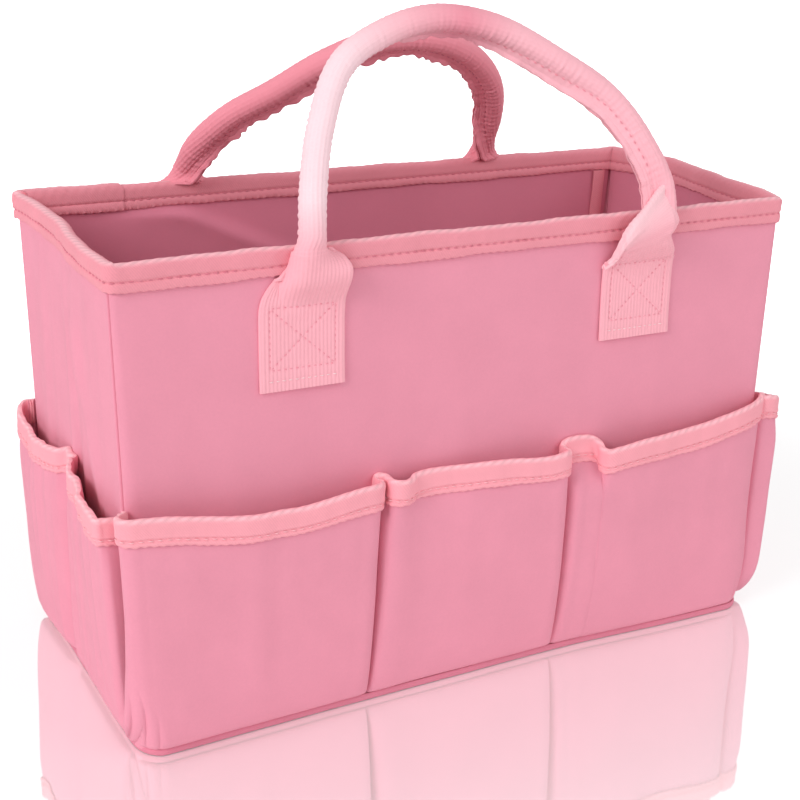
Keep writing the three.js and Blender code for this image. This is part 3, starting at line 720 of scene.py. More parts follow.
FRONT_KEYS = pocket_keys(
    (-161, -0.8, 109.6, -160.5, -0.6), (-162.4, 1.2, 110, -160.6, 1), (-164.6, 3.8, 110.6, -160.6, 3.6),
    (-166.3, 6.4, 111, -160.3, 6), (-166.2, 8.6, 111, -159.4, 8.8), (-163.6, 10.2, 110.6, -157.6, 11),
    (-158, 10.8, 110.3, -153.6, 12.2), (-146.7, 11, 109.2, -146, 12.8), (-130.9, 11.5, 106.6, -132, 12.5),
    (-118.8, 12, 104.8, -120), (-106.6, 12.5, 104, -109), (-98, 12, 104, -101), (-89.5, 12, 103.7, -92),
    (-76, 12, 104.8, -79), (-62, 11, 106.4, -65.5, 11.5), (-53, 9.7, 106.4, -57.5, 10.5),
    (-50.3, 8, 106, -55.8, 8.5), (-49.3, 6, 106, -55.2, 5.5), (-50.2, 3, 106.3, -54.9, 2.2),
    (-50.3, 1.3, 106.8, -54.7, 1.2), (-48.6, 1.1, 107.6, -54.5, 2.2), (-46.2, 1.8, 107.3, -54.2, 5),
    (-45, 4.5, 106.8, -53.8, 7.5), (-45.2, 8.5, 106.9, -53, 9), (-43.6, 10.8, 106.9, -51.5, 10),
    (-40, 11.2, 106.6, -48, 10.6), (-37, 9.5, 106.4, -44, 10.4), (-34, 7, 107, -39, 9.6), (-28, 5.6, 107.2, -33, 9),
    (-15.8, 5.6, 107.2, -20, 9), (2.5, 8.5, 107.3, -1, 10), (17.2, 9.5, 106.5, 15, 10.6), (26.7, 11, 105.8, 25),
    (35, 11, 105.5, 33.5), (42, 10, 106, 41, 10.6), (45, 8, 105.6, 43.6, 8.6), (44.9, 5, 106, 44.1, 5),
    (44.7, 2.6, 106.3, 44.4, 2), (46, 1.4, 107.4, 44.7, 1.4), (47.8, 1.2, 108.2, 45.2, 5),
    (51, 1.2, 108.6, 47, 8.8), (57.5, 1.3, 108.4, 53, 10), (62.5, 1.6, 107.4, 58.5, 10.6),
    (64.6, 4.8, 105.6, 61, 10.9), (64, 8.8, 103.9, 62.2, 11.2), (65.3, 11.2, 103.6, 64, 11.4),
    (69.5, 12, 104.2, 68, 11.6), (82, 12, 105.7, 80), (96.8, 11, 106.3, 95), (118.7, 9.2, 107.3, 118, 9.8),
    (131, 8.6, 108.8, 131, 9.4), (143, 8, 110.6, 143, 8.8), (154, 5.5, 112.2, 154, 6.4, -1.6),
    (160, 2.4, 113.2, 160, 3.2, -3), (163, -0.4, 113.8, 162.4, -0.2, -3.4))
BACK_KEYS = pocket_keys(
    (-163, -0.4, 110, -160, 0), (-160, 4, 109, -158.5, 4), (-152, 8, 107, -154), (-136, 10.5, 105, -139),
    (-110, 11.5, 103.5, -112), (-84, 11.3, 104, -86), (-66, 10.5, 105, -68), (-54, 8.6, 106, -56.5, 9.6),
    (-51, 6, 106, -53.8, 6), (-50.6, 3, 106.4, -53, 3), (-50.4, 1.3, 107, -52.5, 1.3),
    (-47.5, 1.1, 107.3, -52, 2.4), (-45, 2.2, 107, -51.3, 5.5), (-44.6, 5, 106.6, -50.6, 8),
    (-44.8, 8.4, 106.4, -49, 9.6), (-38, 10.4, 105.4, -43), (-20, 11.4, 104.4, -23), (4, 11.6, 104, 2),
    (26, 11, 104.8, 25), (42, 10, 105.8, 41.5), (47, 7.5, 106, 45.4), (47.8, 4, 106.3, 46.4, 4),
    (48, 1.5, 107, 47, 1.5), (51, 1.1, 107.5, 47.6, 2.4), (54, 2, 107, 48.4, 6), (54.4, 5, 106.4, 49.6, 8.6),
    (55, 8.6, 106, 52, 10), (64, 10.6, 105, 62), (84, 11.4, 104.2, 82), (110, 11.3, 104, 108),
    (136, 10, 105.4, 134), (152, 7, 107.4, 152), (159, 3.4, 109, 158), (163, -0.4, 110, 160, 0))
LEFT_KEYS = pocket_keys(
    (-71, -0.6, 110, -74, 0), (-72.4, 2.4, 109.8, -75, 3.4), (-71, 5.4, 109, -74.6, 7), (-67.5, 7, 107, -70.5, 8.4),
    (-61, 7, 104.2, -64, 8.8), (-52, 7, 102.8, -56, 9.8), (-40, 7, 103, -44, 9), (-24, 6.4, 104.6, -28, 8),
    (-15, 4, 106, -20, 6), (-12, 1.4, 107.4, -13, 1.6), (-8.5, 1.1, 107.8, -11.6, 1.2),
    (-4, 1.1, 107.6, -10.4, 1.6), (-1, 1.5, 107.2, -9.2, 4), (0.4, 3.6, 107, -7.6, 6), (1.4, 5.4, 107.2, -5.4, 7),
    (6, 6, 107.3, -1, 7.4), (18, 6.6, 107, 11, 8), (40, 7.8, 106, 35, 9), (52, 8.6, 105.2, 48, 9.2),
    (59, 9.4, 105, 56, 9), (62.6, 9.8, 105.2, 60, 8.8), (64.4, 9.3, 105.4, 62, 8.2), (64.6, 7.8, 105.4, 64.2, 6.6),
    (65, 4.6, 105.2, 65.6, 3.6), (65, 1.8, 105, 65.6, 1), (64.5, -0.6, 105, 65.6, -0.6))
RIGHT_KEYS = pocket_keys(
    (-71.6, -0.8, 113, -73.6, -0.6), (-73.6, 1, 113.2, -75.2, 1.4), (-74, 4, 113, -76, 6),
    (-73.4, 7.6, 112.2, -76, 11.4), (-71.6, 10, 111.2, -74.4, 12.4), (-67, 10.8, 110, -70.4, 13.2),
    (-52, 10.4, 107, -55, 13.2), (-36, 9.6, 106, -39, 13), (-18, 8, 106, -21, 11), (-8, 5.6, 106.6, -11, 7),
    (-4.6, 3, 107, -7.5, 3), (-3.8, 1.3, 107.4, -6.4, 1.3), (0, 1.1, 107.6, -5.6, 1.3), (3.4, 1.4, 107.4, -4.8, 3),
    (4.4, 3.4, 107, -3, 5.6), (8, 6, 106.4, 1, 8), (20, 8.2, 105, 14, 9.6), (38, 9, 104.4, 34, 10),
    (54, 8.4, 105, 51, 9.6), (66, 6.4, 107, 66, 8.6), (70.6, 3.8, 108.6, 72, 5.4), (71.6, -0.6, 110, 73.6, -0.4))
POCKET_KEYS = {FRONT: FRONT_KEYS, RIGHT: RIGHT_KEYS, BACK: BACK_KEYS, LEFT: LEFT_KEYS}
BAND_STEP = 1.1
BAND_FOOT = 3.9
BAND_HALF = 0.4
# How soon a band is full above its foot, at its start and its end
FULLNESS = {FRONT: (0.26, 0.26), RIGHT: (0.1, 0.16), BACK: (0.26, 0.26), LEFT: (0.1, 0.22)}
HELD = 0.7
END_COLUMNS = 24
DRIFT_EASE = 7
FOOT_ROUND = 11
FOOT_TUCK = 10
CORNER_SWELL = ((2, 0), (8, -3), (16, -5.4), (26, -4.2), (44, -2), (65, -0.4), (100, 0))
# Each crease: heights over which it fades, places from the middle at heights, and depth
CREASES = ((14, 46, (162.5, 163.5, 164.0, 165.7), (4, 11.5, 28, 43), 1.5),
           (12, 42, (157.3, 157.8, 159.5, 162.5), (3, 6, 25, 39), 1.7),
           (8, 24, (153.0, 153.4, 154.5), (3, 8, 22), 0.8))
TAPE_EASE = (3, 26)
TAPE_DEPTHS = np.linspace(0, 12, 25)


def side_point(side, along, out, z):
    """Points given by their distances along and out of a side's wall."""
    reach = lerp(FOOT_HALF[1 - side % 2], RIM_HALF[1 - side % 2], z / HEIGHT)
    run = half_run(side, 100)
    return turned(side, along, reach + out + wall_bow(side, np.clip(along, -run, run), z), z)


class Band:
    """A pocket band's middle surface: column places along its top edge, and drops below that edge."""

    def __init__(self, side):
        keys = POCKET_KEYS[side]
        knots = path_knots(keys[:, :2] * [1, 1.15])
        self.side = side
        self.name = SIDE_NAMES[side] + "_pocket_"
        fine = np.arange(0, END_COLUMNS, 0.45)
        even = np.linspace(0, knots[-1], int(knots[-1] / BAND_STEP))
        length = np.unique(np.concatenate([even, fine, knots[-1] - fine]))
        self.s = length[:, None]
        along, out, top, foot, body, belly = self.columns = spline(knots, keys, length).T[..., None]
        width = int(DRIFT_EASE / BAND_STEP)
        padded = np.pad(np.interp(even, length, (along - foot)[:, 0]), width, mode="edge")
        eased = np.convolve(padded, np.ones(2 * width + 1) / (2 * width + 1), "valid")
        self.drift = np.interp(length, even, eased)[:, None]

    def place(self, z):
        """Points at heights z, a grid [column][row]."""
        along, out, top, foot, body, belly = self.columns
        s = self.s
        level = np.clip((z - BAND_FOOT) / (top - BAND_FOOT), 0, 1)
        below = smooth(top - z, *TAPE_EASE)
        fullness = lerp(*FULLNESS[self.side], s / s[-1])
        away = HELD + (lerp(out, body, below) - HELD) * level**fullness
        end = bell(np.minimum(s - s[0], s[-1] - s), 0, 9)
        top_x = lerp(along, foot + self.drift, below * (1 - end))
        x = lerp(foot, top_x, level**lerp(0.85, 0.3, end)) + belly * np.sin(np.pi * level)
        if self.side % 2:
            beyond_corner = np.clip(np.abs(x) - FOOT_HALF[1] + FOOT_CORNER_RADIUS - 1, 0, None)
            x = x - np.sign(x) * beyond_corner * bell(z, 0, FOOT_TUCK)
        if self.side == FRONT:
            x = x + np.interp(z, *zip(*CORNER_SWELL)) * bell(s, s[0], 12)
        folds = 0.4 * ripple(s * 0.8 + z * 0.5, self.side + 11) * np.sin(np.pi * level) * smooth(away, 1.2, 5)
        if self.side % 2 == 0:
            folds = folds + self.creases(x, z)
        return side_point(self.side, x, away + (folds - self.rounding(x, z)), z)

    @staticmethod
    def creases(x, z):
        """Gathers that rise from the foot at both ends, as grooves that lean outwards."""
        total = 0
        for low, high, places, heights, depth in CREASES:
            shape = bell(np.abs(x), np.interp(z, heights, places), 1.1, 1.6)
            total = total - depth * (shape * smooth(z, 2, 7) * smooth(high - z, 0, high - low))
        return total

    def rounding(self, x, z):
        """How far a band draws back round the foot's corners."""
        past = np.clip(np.abs(x) - (FOOT_HALF[self.side % 2] + 1.6 - FOOT_ROUND), 0, FOOT_ROUND)
        return (FOOT_ROUND - np.sqrt(FOOT_ROUND**2 - past**2)) * bell(z, 0, 13)

    def at(self, drops):
        return self.place(self.columns[2] - drops[None])

    def full(self, rows):
        """The whole band with its skirt below the foot, and its heights."""
        top, foot = self.columns[2], self.columns[3]
        z = lerp(BAND_FOOT, top, np.linspace(0, 1, rows)[None]**1.5)
        skirt_z = np.array([[1.6, 2.7]]) + 0 * top
        skirt = side_point(self.side, foot, HELD - self.rounding(foot, skirt_z), skirt_z)
        return np.concatenate([skirt, self.place(z)], 1), np.concatenate([skirt_z, z], 1)


def pocket_band(band):
    points, z = band.full(40)
    n = normals(points) * BAND_HALF
    add_ply(band.name + "band_cloth", points + n, points - n, stack(band.s, z), OUTER, band.name + "band")


def pocket_tape(band):
    drop, away = np.array(TAPE_PROFILE).T
    drops = np.maximum(drop, 0)
    v = path_knots(TAPE_PROFILE)[None]
    n = -normals(band.at(TAPE_DEPTHS))
    outward = stack(*([np.interp(drops, TAPE_DEPTHS, column) for column in n[..., k]] for k in range(3)))
    s = band.s
    unevenness = 0.3 * wave(s, STITCH_PITCH) + 0.35 * ripple(s * 1.5, band.side)
    thick = away[None] * (1 + 0.12 * ripple(s * 3, band.side + 5))
    thick -= np.where((np.abs(drop - TAPE_STITCH_DROP) < 1.2) & (away > 0), 0.15 * dimples(s), 0)
    ribs = TAPE_RIBS * wave(s - v * ROLL_SLANT, ROLL_PITCH) * bell(v, v[0, TAPE_CREST], 2.2)
    thick += (away > 0.6) * ribs
    points = band.at(drops) + outward * thick[..., None]
    points[..., 2] += (drop > 10.2) * unevenness + 0.35 * (drop < 0) + ribs * RIB_RISE
    add_object(band.name + "tape_cloth", tube(points, stack(s, v)), POCKET_TAPE, replaces=(band.name + "tape",))


# Stitches

THREAD_STEPS = np.linspace(0, 1, 6)
THREAD_SIDES = 6


def stitch_row(name, path, outward, finish, pitch=STITCH_PITCH, share=0.62, radius=0.32, body="tote", rise=0.1):
    """A row of stitches along a path: each is a thread that rises from the cloth and dives back in."""
    knots = path_knots(path)
    count = max(int(knots[-1] / pitch), 1)
    steps, sides = THREAD_STEPS, THREAD_SIDES
    ring = np.linspace(0, 2 * np.pi, sides + 1)[:-1]
    lift = (np.sin(np.pi * steps) * (rise + radius) - radius * 0.6)[:, None]
    thin = (0.45 + 0.55 * np.sin(np.pi * steps))[:, None, None] * radius
    points, faces, uvs = [], [], []
    for k in range(count):
        s = (k + 0.5 + (steps - 0.5) * share) * knots[-1] / count
        middle, out = (np.stack([np.interp(s, knots, grid[:, c]) for c in range(3)], -1) for grid in (path, outward))
        across = unit(np.cross(unit(np.gradient(middle, axis=0)), out))
        centre = middle + out * lift
        spokes = np.cos(ring)[None, :, None] * out[:, None] + np.sin(ring)[None, :, None] * across[:, None]
        base = len(points)
        points += (centre[:, None] + thin * spokes).reshape(-1, 3).tolist()
        for i in range(len(steps) - 1):
            near, far = base + i * sides, base + (i + 1) * sides
            for j in range(sides):
                j2 = (j + 1) % sides
                faces.append((near + j, near + j2, far + j2, far + j))
                uvs += [(s[i], j * 0.3), (s[i], j * 0.3 + 0.3), (s[i + 1], j * 0.3 + 0.3), (s[i + 1], j * 0.3)]
        faces.append(tuple(range(base, base + sides))[::-1])
        faces.append(tuple(range(far, far + sides)))
        uvs += [(s[0], 0)] * 2 * sides
    flat = np.array(points)
    if signed_volume(flat, faces) < 0:
        faces = [f[::-1] for f in faces]
    add_object(name, (flat, faces, uvs), finish, body, seams=80)


def rim_stitches():
    sides, ts, _ = ring_stations()
    z = HEIGHT - STITCH_DROP
    for name, out, sign in (("rim_outer_stitches", 1.05, 1), ("rim_inner_stitches", -3.6, -1)):
        path = wall_point(sides, ts, out, z)
        outward = unit(wall_point(sides, ts, out + sign, z) - path)
        path, outward = (np.concatenate([grid, grid[:1]]) for grid in (path, outward))
        stitch_row(name, path, outward, SHADED_THREAD)


def pocket_stitches(band):
    points = band.at(TAPE_STITCH_DROP + np.array([-0.6, 0, 0.6]))
    n = -normals(points)[:, 1]
    stitch_row(band.name + "stitches", points[:, 1] + n * 1.1, n, POCKET_THREAD, rise=0.25)


# Handles

CORE_RADIUS = 3.9
FOLD_RADIUS = CORE_RADIUS + 0.3 + WEBBING / 2
SLOPE = math.radians(35)
ARC_TURN = math.pi / 2 + SLOPE
FLANGE_GAP = 0.4
TAB_CLEAR = 22
TAB_STEP = 0.55
ARCH_STEP = 0.8
LEG_START = 1.5
# Heights between which a ribbon bends, in metres
ARCHES = {
    "front": {
        "lean": 20,
        "route": ((-83.5, 0), (-81.2, 4), (-79.8, 9), (-76.7, 24.6), (-70.1, 48.2), (-54.5, 75.5), (-37.1, 85.1),
                  (-14, 91), (12.4, 87.8), (45.4, 71), (71, 52.5), (80, 41), (86.3, 29.5), (90.4, 21), (92.4, 14.5),
                  (92.2, 9), (91.4, 4.5), (90.6, 0)),
        "tab_shift": (-1.2, -0.6),
        "tab_lift": (0.6, 2.4),
        "left_flange": ((-20, 90), (0, 90), (36, 78), (110, 62), (140, 56)),
        "right_flange": ((-60, 90), (-21, 90), (-20, 0), (0, 0), (55, 0), (90, 25), (125, 56), (140, 56)),
        "left_folds": ((-31, 5), (-9, 8)),
        "right_folds": ((-20, -19), (-20, -19)),
        "scallop": ((0, 0.4), (110, 0.7), (150, 0.35), (200, 0.1), (270, 0.05)),
        "bulge": ((151, 1.1), (183, 1.1), (188, 1.6), (192, 3.6), (197, 6.4), (203, 7.4), (209.5, 7)),
    },
    "back": {
        "lean": 38,
        "route": ((-82.5, 0), (-82.5, 5.5), (-82, 10.9), (-81.3, 20), (-70.1, 41), (-49.5, 58.2), (-29.7, 75.5),
                  (-3.3, 88.3), (21.5, 87.4), (42.9, 78.3), (66.8, 54.6), (76.3, 29.1), (78.4, 15.5), (82.1, 5.5),
                  (82.5, 0)),
        "tab_shift": (0, 0),
        "tab_lift": (0, 0),
        "left_flange": ((-20, 90), (0, 90), (36, 25), (125, 10)),
        "right_flange": ((125, 10), (36, 0), (10, 60), (0, 90), (-20, 90)),
        "left_folds": ((-3.5, 10), (-3.5, 10)),
        "right_folds": ((-3.5, 10), (-3.5, 10)),
        "scallop": ((0, 0.2), (40, 0.8), (260, 0.5)),
        "bulge": ((151, 1.1), (183, 1.1), (190, 2), (197, 5), (203, 6), (209.5, 6)),
    },
}
# The right foot's slanting fold: share of the width from the left, across, up and forward in the arch's plane
FLAP_FOLD = ((0, 62.9, -20.6, -9.6), (0.07, 66.2, -17.4, -5.2), (0.15, 67.6, -10.2, 1.5), (0.27, 70.8, -4.6, 5.2),
             (0.42, 77.9, 1.2, 5.8), (0.6, 85.2, 7.2, 4.8), (0.8, 92.2, 12.2, 2.4), (0.93, 96.6, 15.4, -0.6),
             (1, 97.8, 15.6, -3.4))
FLAP_EDGE = ((187.5, 100), (193, 98.6), (198, 95.6), (201, 94.6), (204, 96.6), (207, 98.2), (210, 97), (213, 96),
             (220, 96.6), (226, 97.8))
FLAP_BULGE = ((151, 1.1), (183, 1.1), (188, 1.6), (192, 4.5), (197, 8), (203, 10), (209.5, 10.4), (225, 12))
FLAP_TURN = 1.25
BULGE_FADE = 18
RIM_CLEAR = 1.6
PUCKER_PITCH = 2.9
SEAM_PLACE = 13.4
BOX_HALF = 14.5
BOX_TOP = 186
BOX_FOOT = 160
LAST_ROW = 155.3
WORN = 0.15
# Reliefs of the webbing: its ribs on the tabs and on the arch, its flange's seam, and its pressed-in stitches
RIB_DEPTH, ARCH_RIB_DEPTH = 0.1, 0.03
SEAM_DEPTH = 0.6
PRESS_DEPTH = 0.22


def wall_half(z):
    """Half the distance between the front and back walls at a height."""
    return lerp(FOOT_HALF[1], RIM_HALF[1], z / HEIGHT)


def folded_half(fold, d, wave, radius):
    """Half of the webbing's middle line: across and in depth, at distances from its centre."""
    slope_length = (radius * math.cos(SLOPE) - (WEBBING + FLANGE_GAP) / 2) / math.sin(SLOPE)
    arc = radius * ARC_TURN
    turn = ARC_TURN * np.clip(d / arc, 0, 1) - SLOPE * smooth(d, arc + slope_length - 1, arc + slope_length + 1)
    heading = (turn + wave * smooth(d, 13, 19)) * fold
    middle = (heading[1:] + heading[:-1]) / 2
    step = np.diff(d)
    return (np.concatenate([[0], np.cumsum(np.cos(middle) * step)]),
            np.concatenate([[0], np.cumsum(np.sin(middle) * step)]))


class Handle:
    """One handle's ribbon: from its left tab's foot, up over the arch and down to its right tab's foot."""

    def __init__(self, side):
        self.side = side
        self.body = side + "_handle"
        self.sign = -1 if side == "front" else 1
        self.shape = ARCHES[side]
        self.lean = math.radians(self.shape["lean"])
        self.route = np.array(self.shape["route"], float)
        self.knots = path_knots(self.route)
        self.arch = self.knots[-1]
        self.hinge_y = self.sign * (wall_half(HINGE_HEIGHT) + HINGE_OUT)
        self.middle_out = curve(self.shape["bulge"], HINGE_HEIGHT)
        self.d = np.linspace(0, WEBBING_WIDTH / 2, 61)
        self.widths = np.concatenate([-self.d[:0:-1], self.d])
        tab_rows = np.arange(TAB_BOTTOM - HINGE_HEIGHT, -TAB_CLEAR, TAB_STEP)
        far_rows = self.arch - tab_rows[::-1]
        if side == "front":
            leg = self.arch - LEG_START
            upper = np.concatenate([tab_rows, np.arange(-TAB_CLEAR, leg, ARCH_STEP)])
            lower = far_rows[far_rows > self.arch + TAB_CLEAR]
            flap = self.flap(leg)
            self.s = np.concatenate([upper, np.linspace(leg, lower[0] - TAB_STEP, len(flap)), lower])
            middle = np.concatenate([[self.station(a) for a in upper], flap, [self.station(a) for a in lower]])
        else:
            arch_rows = np.arange(-TAB_CLEAR, self.arch + TAB_CLEAR, ARCH_STEP)
            self.s = np.concatenate([tab_rows, arch_rows, far_rows])
            middle = np.array([self.station(a) for a in self.s])
        normal = normals(middle)
        normal *= np.sign(normal[0, 60, 1] * self.sign)
        self.outer = middle + normal * self.thickness()[..., None]
        self.inner = middle - normal * (WEBBING / 2 - WORN)

    def foot(self, a):
        """The nearer foot, 0 on the left and 1 on the right, and the distance above its hinge."""
        return (0, a) if a < self.arch / 2 else (1, self.arch - a)

    def flange_turn(self, a):
        """How far the flange is turned round the arch, from keys at distances above the hinge."""
        end, place = self.foot(a)
        places, values = zip(*sorted(self.shape[("left_flange", "right_flange")[end]]))
        after = int(np.clip(np.searchsorted(places, place), 1, len(places) - 1))
        turn = lerp(values[after - 1], values[after], smooth(place, places[after - 1], places[after]))
        return math.radians(float(turn))

    def folds(self, a):
        """How far the webbing's two halves are folded, from 0 to 1."""
        end, above = self.foot(a)
        return [float(smooth(above, *keys)) for keys in self.shape[("left_folds", "right_folds")[end]]]

    def section(self, a):
        """The webbing's middle line across its width, as (across, depth)."""
        fold_out, fold_in = self.folds(a)
        folded = min(fold_out, fold_in)
        turn = 0.35 * ripple(a * 2.7, 3 + self.sign) * folded
        slim = lerp(2.4, FOLD_RADIUS, smooth(self.arch - a, 3, 30))
        radius = slim if self.side == "front" else FOLD_RADIUS
        x_in, y_in = folded_half(fold_in, self.d, turn, radius)
        x_out, y_out = folded_half(fold_out, self.d, -turn, radius)
        apex = -FOLD_RADIUS * (fold_in + fold_out) / 2
        line = np.stack([np.concatenate([-x_out[:0:-1], x_in]), apex + np.concatenate([y_out[:0:-1], y_in])], -1)
        amount = float(np.interp(a, *zip(*self.shape["scallop"])))
        scallop = amount * (0.7 * wave(a, 7.6, 3 * ripple(a, 2)) + ripple(a * 2.5, 9)) * folded
        line[:, 1] += scallop * smooth(np.abs(self.widths), 14, 19)
        return line

    def thickness(self):
        """Half the webbing's thickness on its outer side, with its ribs, puckers, seams and worn edges."""
        w, a = np.abs(self.widths)[None], self.s[:, None]
        folded = np.array([min(self.folds(v)) for v in self.s])[:, None]
        above = np.minimum(a, self.arch - a)
        ridge = lerp(RIB_DEPTH, lerp(RIB_DEPTH, ARCH_RIB_DEPTH, smooth(above, 20, 80)), folded)
        rib = ridge * np.cos(2 * np.pi * self.widths / RIB)[None]
        if self.side == "front":
            past = a - self.arch
            rib = rib * (1 - 0.75 * smooth(past, 5, 9) * smooth(TAB_CLEAR - 3 - past, 0, 3))
        crossing = 0.5 + 0.5 * np.sin(a * 0.9 + 2 * ripple(a * 1.3, 8))
        pucker = 0.3 * wave(a, PUCKER_PITCH, 2.5 * ripple(a, 5) + 0.1 * w) * bell(w, 10, 4.5)
        pucker = pucker * (0.45 + 0.55 * crossing)
        pucker += 0.12 * np.sin(a * 2.0 + 3 * ripple(a * 2, 3) + 0.2 * self.widths) * crossing
        seam = -SEAM_DEPTH * folded * bell(w, SEAM_PLACE, 0.9) * (0.2 + 0.8 * dimples(a))
        relief = rib + folded * pucker + seam - PRESS_DEPTH * self.stitch_press(w, HINGE_HEIGHT + above)
        edge = np.sqrt(np.clip((WEBBING_WIDTH / 2 - w) / 0.8, 0, 1))
        return (WEBBING / 2 - WORN) * lerp(0.35, 1, edge) + relief * edge

    @staticmethod
    def stitch_press(w, z):
        """How deep the tab's box, cross and last row of stitches press the webbing in."""
        inside_box = (z > BOX_FOOT - 0.6) & (z < BOX_TOP + 0.6) & (w < BOX_HALF + 0.6)
        t = (z - BOX_FOOT) / (BOX_TOP - BOX_FOOT) * 2 - 1
        to_cross = np.abs(np.abs(t) * BOX_HALF - w) * 0.75
        to_ends = np.minimum(np.abs(z - BOX_TOP), np.abs(z - BOX_FOOT))
        lines = np.minimum(to_ends, np.minimum(np.abs(w - BOX_HALF), to_cross))
        return np.where(inside_box, bell(lines, 0, 0.6), 0) + bell(z, LAST_ROW, 0.5) * (w < BOX_HALF + 1)

    def station(self, a):
        return self.place(a, self.flange_turn(a), self.section(a))

    def place(self, a, turn, face):
        """A section's points, turned round the route at a distance along it."""
        end, above = self.foot(a)
        direction = 1 - 2 * end
        width, depth = face.T
        in_plane = depth * math.cos(turn) + width * math.sin(turn)
        inwards = depth * math.sin(turn) - width * math.cos(turn)
        if above < 0:
            z = HINGE_HEIGHT + above + self.shape["tab_lift"][end] * float(smooth(-above, 8, TAB_CLEAR))
            out = float(curve(self.shape["bulge"], z))
            x = -direction * TAB_MIDDLE + self.shape["tab_shift"][end] + direction * in_plane
            away = np.maximum(out - inwards, 2.4 if z > BINDING_FOOT - 1 else 0.85)
            return stack(x, self.sign * (wall_half(z) + away), z)
        centre, ahead, behind = spline(self.knots, self.route, np.clip([a, a + 1, a - 1], 0, self.arch))
        tangent = (ahead - behind) / np.linalg.norm(ahead - behind)
        tangent = lerp(np.array([0, direction]), tangent, smooth(above, 0, 14))
        tangent /= np.linalg.norm(tangent)
        inside = (tangent[1], -tangent[0])
        inwards = inwards - (self.middle_out - HINGE_OUT) * (1 - smooth(above, 0, BULGE_FADE))
        if self.side == "back":
            inwards = np.minimum(inwards, RIM_CLEAR + 1.1 * max(above - RIM_CLEAR, 0))
        across, up = (centre[k] + inside[k] * in_plane for k in (0, 1))
        return self.leaning(across, up, inwards)

    def leaning(self, across, up, inwards):
        """Points from places in the arch's leaning plane and distances behind it."""
        y = self.hinge_y - self.sign * (up * math.sin(self.lean) + inwards * math.cos(self.lean))
        z = HINGE_HEIGHT + up * math.cos(self.lean) - inwards * math.sin(self.lean)
        return stack(across, y, z)

    def flap(self, a):
        """Rows of the right foot, from the leg down: the cloth goes down behind, turns over a slanting
        fold and comes down in front of the leg on to the tab."""
        t = (WEBBING_WIDTH / 2 - self.widths) / WEBBING_WIDTH
        keys = np.array(FLAP_FOLD, float)
        fold_x, fold_up, forward = spline(keys[:, 0], keys[:, 1:], t).T
        fold_line = self.leaning(fold_x, fold_up, -forward)
        left = TAB_MIDDLE + self.shape["tab_shift"][1] - WEBBING_WIDTH / 2
        top = HINGE_HEIGHT - TAB_CLEAR + self.shape["tab_lift"][1]
        rows = []
        for u in np.linspace(0, 1, 24)[:-1]:
            z = lerp(top, fold_line[:, 2], u)
            straight_edge = lerp(left + WEBBING_WIDTH, fold_x[0], u**1.3)
            x = lerp(left + t * WEBBING_WIDTH, fold_x, u**1.3) + (curve(FLAP_EDGE, z) - straight_edge) * t**3
            out = curve(FLAP_BULGE, z) * (1 - 0.35 * smooth(t, 0.82, 1) * smooth(z, 190, 204))
            y = lerp(-(wall_half(z) + out), fold_line[:, 1], smooth(u, 0.55, 1)) - 0.8 * np.sin(np.pi * u**2)
            rows.append(np.stack([x, y, z], -1))
        over = [fold_line + FLAP_TURN * np.array([0, 1 - math.cos(v), math.sin(v)]) for v in np.linspace(0, np.pi, 6)]
        leg = self.station(a)
        behind = [lerp(over[-1], leg, smooth(u, 0, 1)) - np.array([0, 0, 3.0]) * math.sin(math.pi * u)
                  for u in np.linspace(0, 1, 10)[1:-1]]
        return np.array((rows + over + behind + [leg])[::-1])

    def face(self, a, w):
        """Points and outward directions of the ribbon's outer face, at places along and across it."""
        a, w = np.broadcast_arrays(np.asarray(a, float), np.asarray(w, float))
        i, j = (np.clip(np.interp(value, places, np.arange(len(places))), 0, len(places) - 1.001)
                for value, places in ((a, self.s), (w, self.widths)))
        i0, j0 = i.astype(int), j.astype(int)
        fi, fj = (i - i0)[:, None], (j - j0)[:, None]

        def along(grid, j):
            return lerp(grid[i0, j], grid[i0 + 1, j], fi)

        outer, inner = (lerp(along(grid, j0), along(grid, j0 + 1), fj) for grid in (self.outer, self.inner))
        return outer, unit(outer - inner)


def ribbon(h):
    points = np.concatenate([h.outer, h.inner[:, ::-1]], 1)
    uv = stack(np.concatenate([h.widths, h.widths[::-1], h.widths[:1]])[None], h.s[:, None])
    piece = add_object(h.body + "_ribbon", grid_mesh(points, uv, loop_cols=True, caps=True),
                       FRONT_WEBBING if h.side == "front" else SHADED_BACK_WEBBING, body=None,
                       replaces=[h.body + end for end in ("_webbing", "_left_tab", "_right_tab")])
    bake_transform(piece)


def handle_core(h):
    a = np.arange(30, h.arch - 30, 3.0)
    ring = np.linspace(0, 2 * np.pi, 13)[:-1]
    circle = (CORE_RADIUS - 0.4) * np.stack([np.cos(ring), np.sin(ring)], -1)
    points = np.array([h.place(value, 0, circle) for value in a])
    uv = stack(a[:, None], ring[None] * CORE_RADIUS)
    data = grid_mesh(points, open_uv(uv, False, True), loop_cols=True, caps=True)
    add_object(h.body + "_filler", data, CORE, h.body, replaces=(h.body + "_core",))


# Each row of a tab's stitches, from one place across and height to another
TAB_ROWS = {
    "top": (-BOX_HALF, BOX_TOP, BOX_HALF, BOX_TOP), "side_a": (-BOX_HALF, BOX_TOP, -BOX_HALF, BOX_FOOT),
    "side_b": (BOX_HALF, BOX_TOP, BOX_HALF, BOX_FOOT), "cross_a": (-BOX_HALF, BOX_TOP, BOX_HALF, BOX_FOOT),
    "cross_b": (BOX_HALF, BOX_TOP, -BOX_HALF, BOX_FOOT), "foot": (-BOX_HALF, BOX_FOOT, BOX_HALF, BOX_FOOT),
    "last": (-BOX_HALF - 1, LAST_ROW, BOX_HALF + 1, LAST_ROW)}


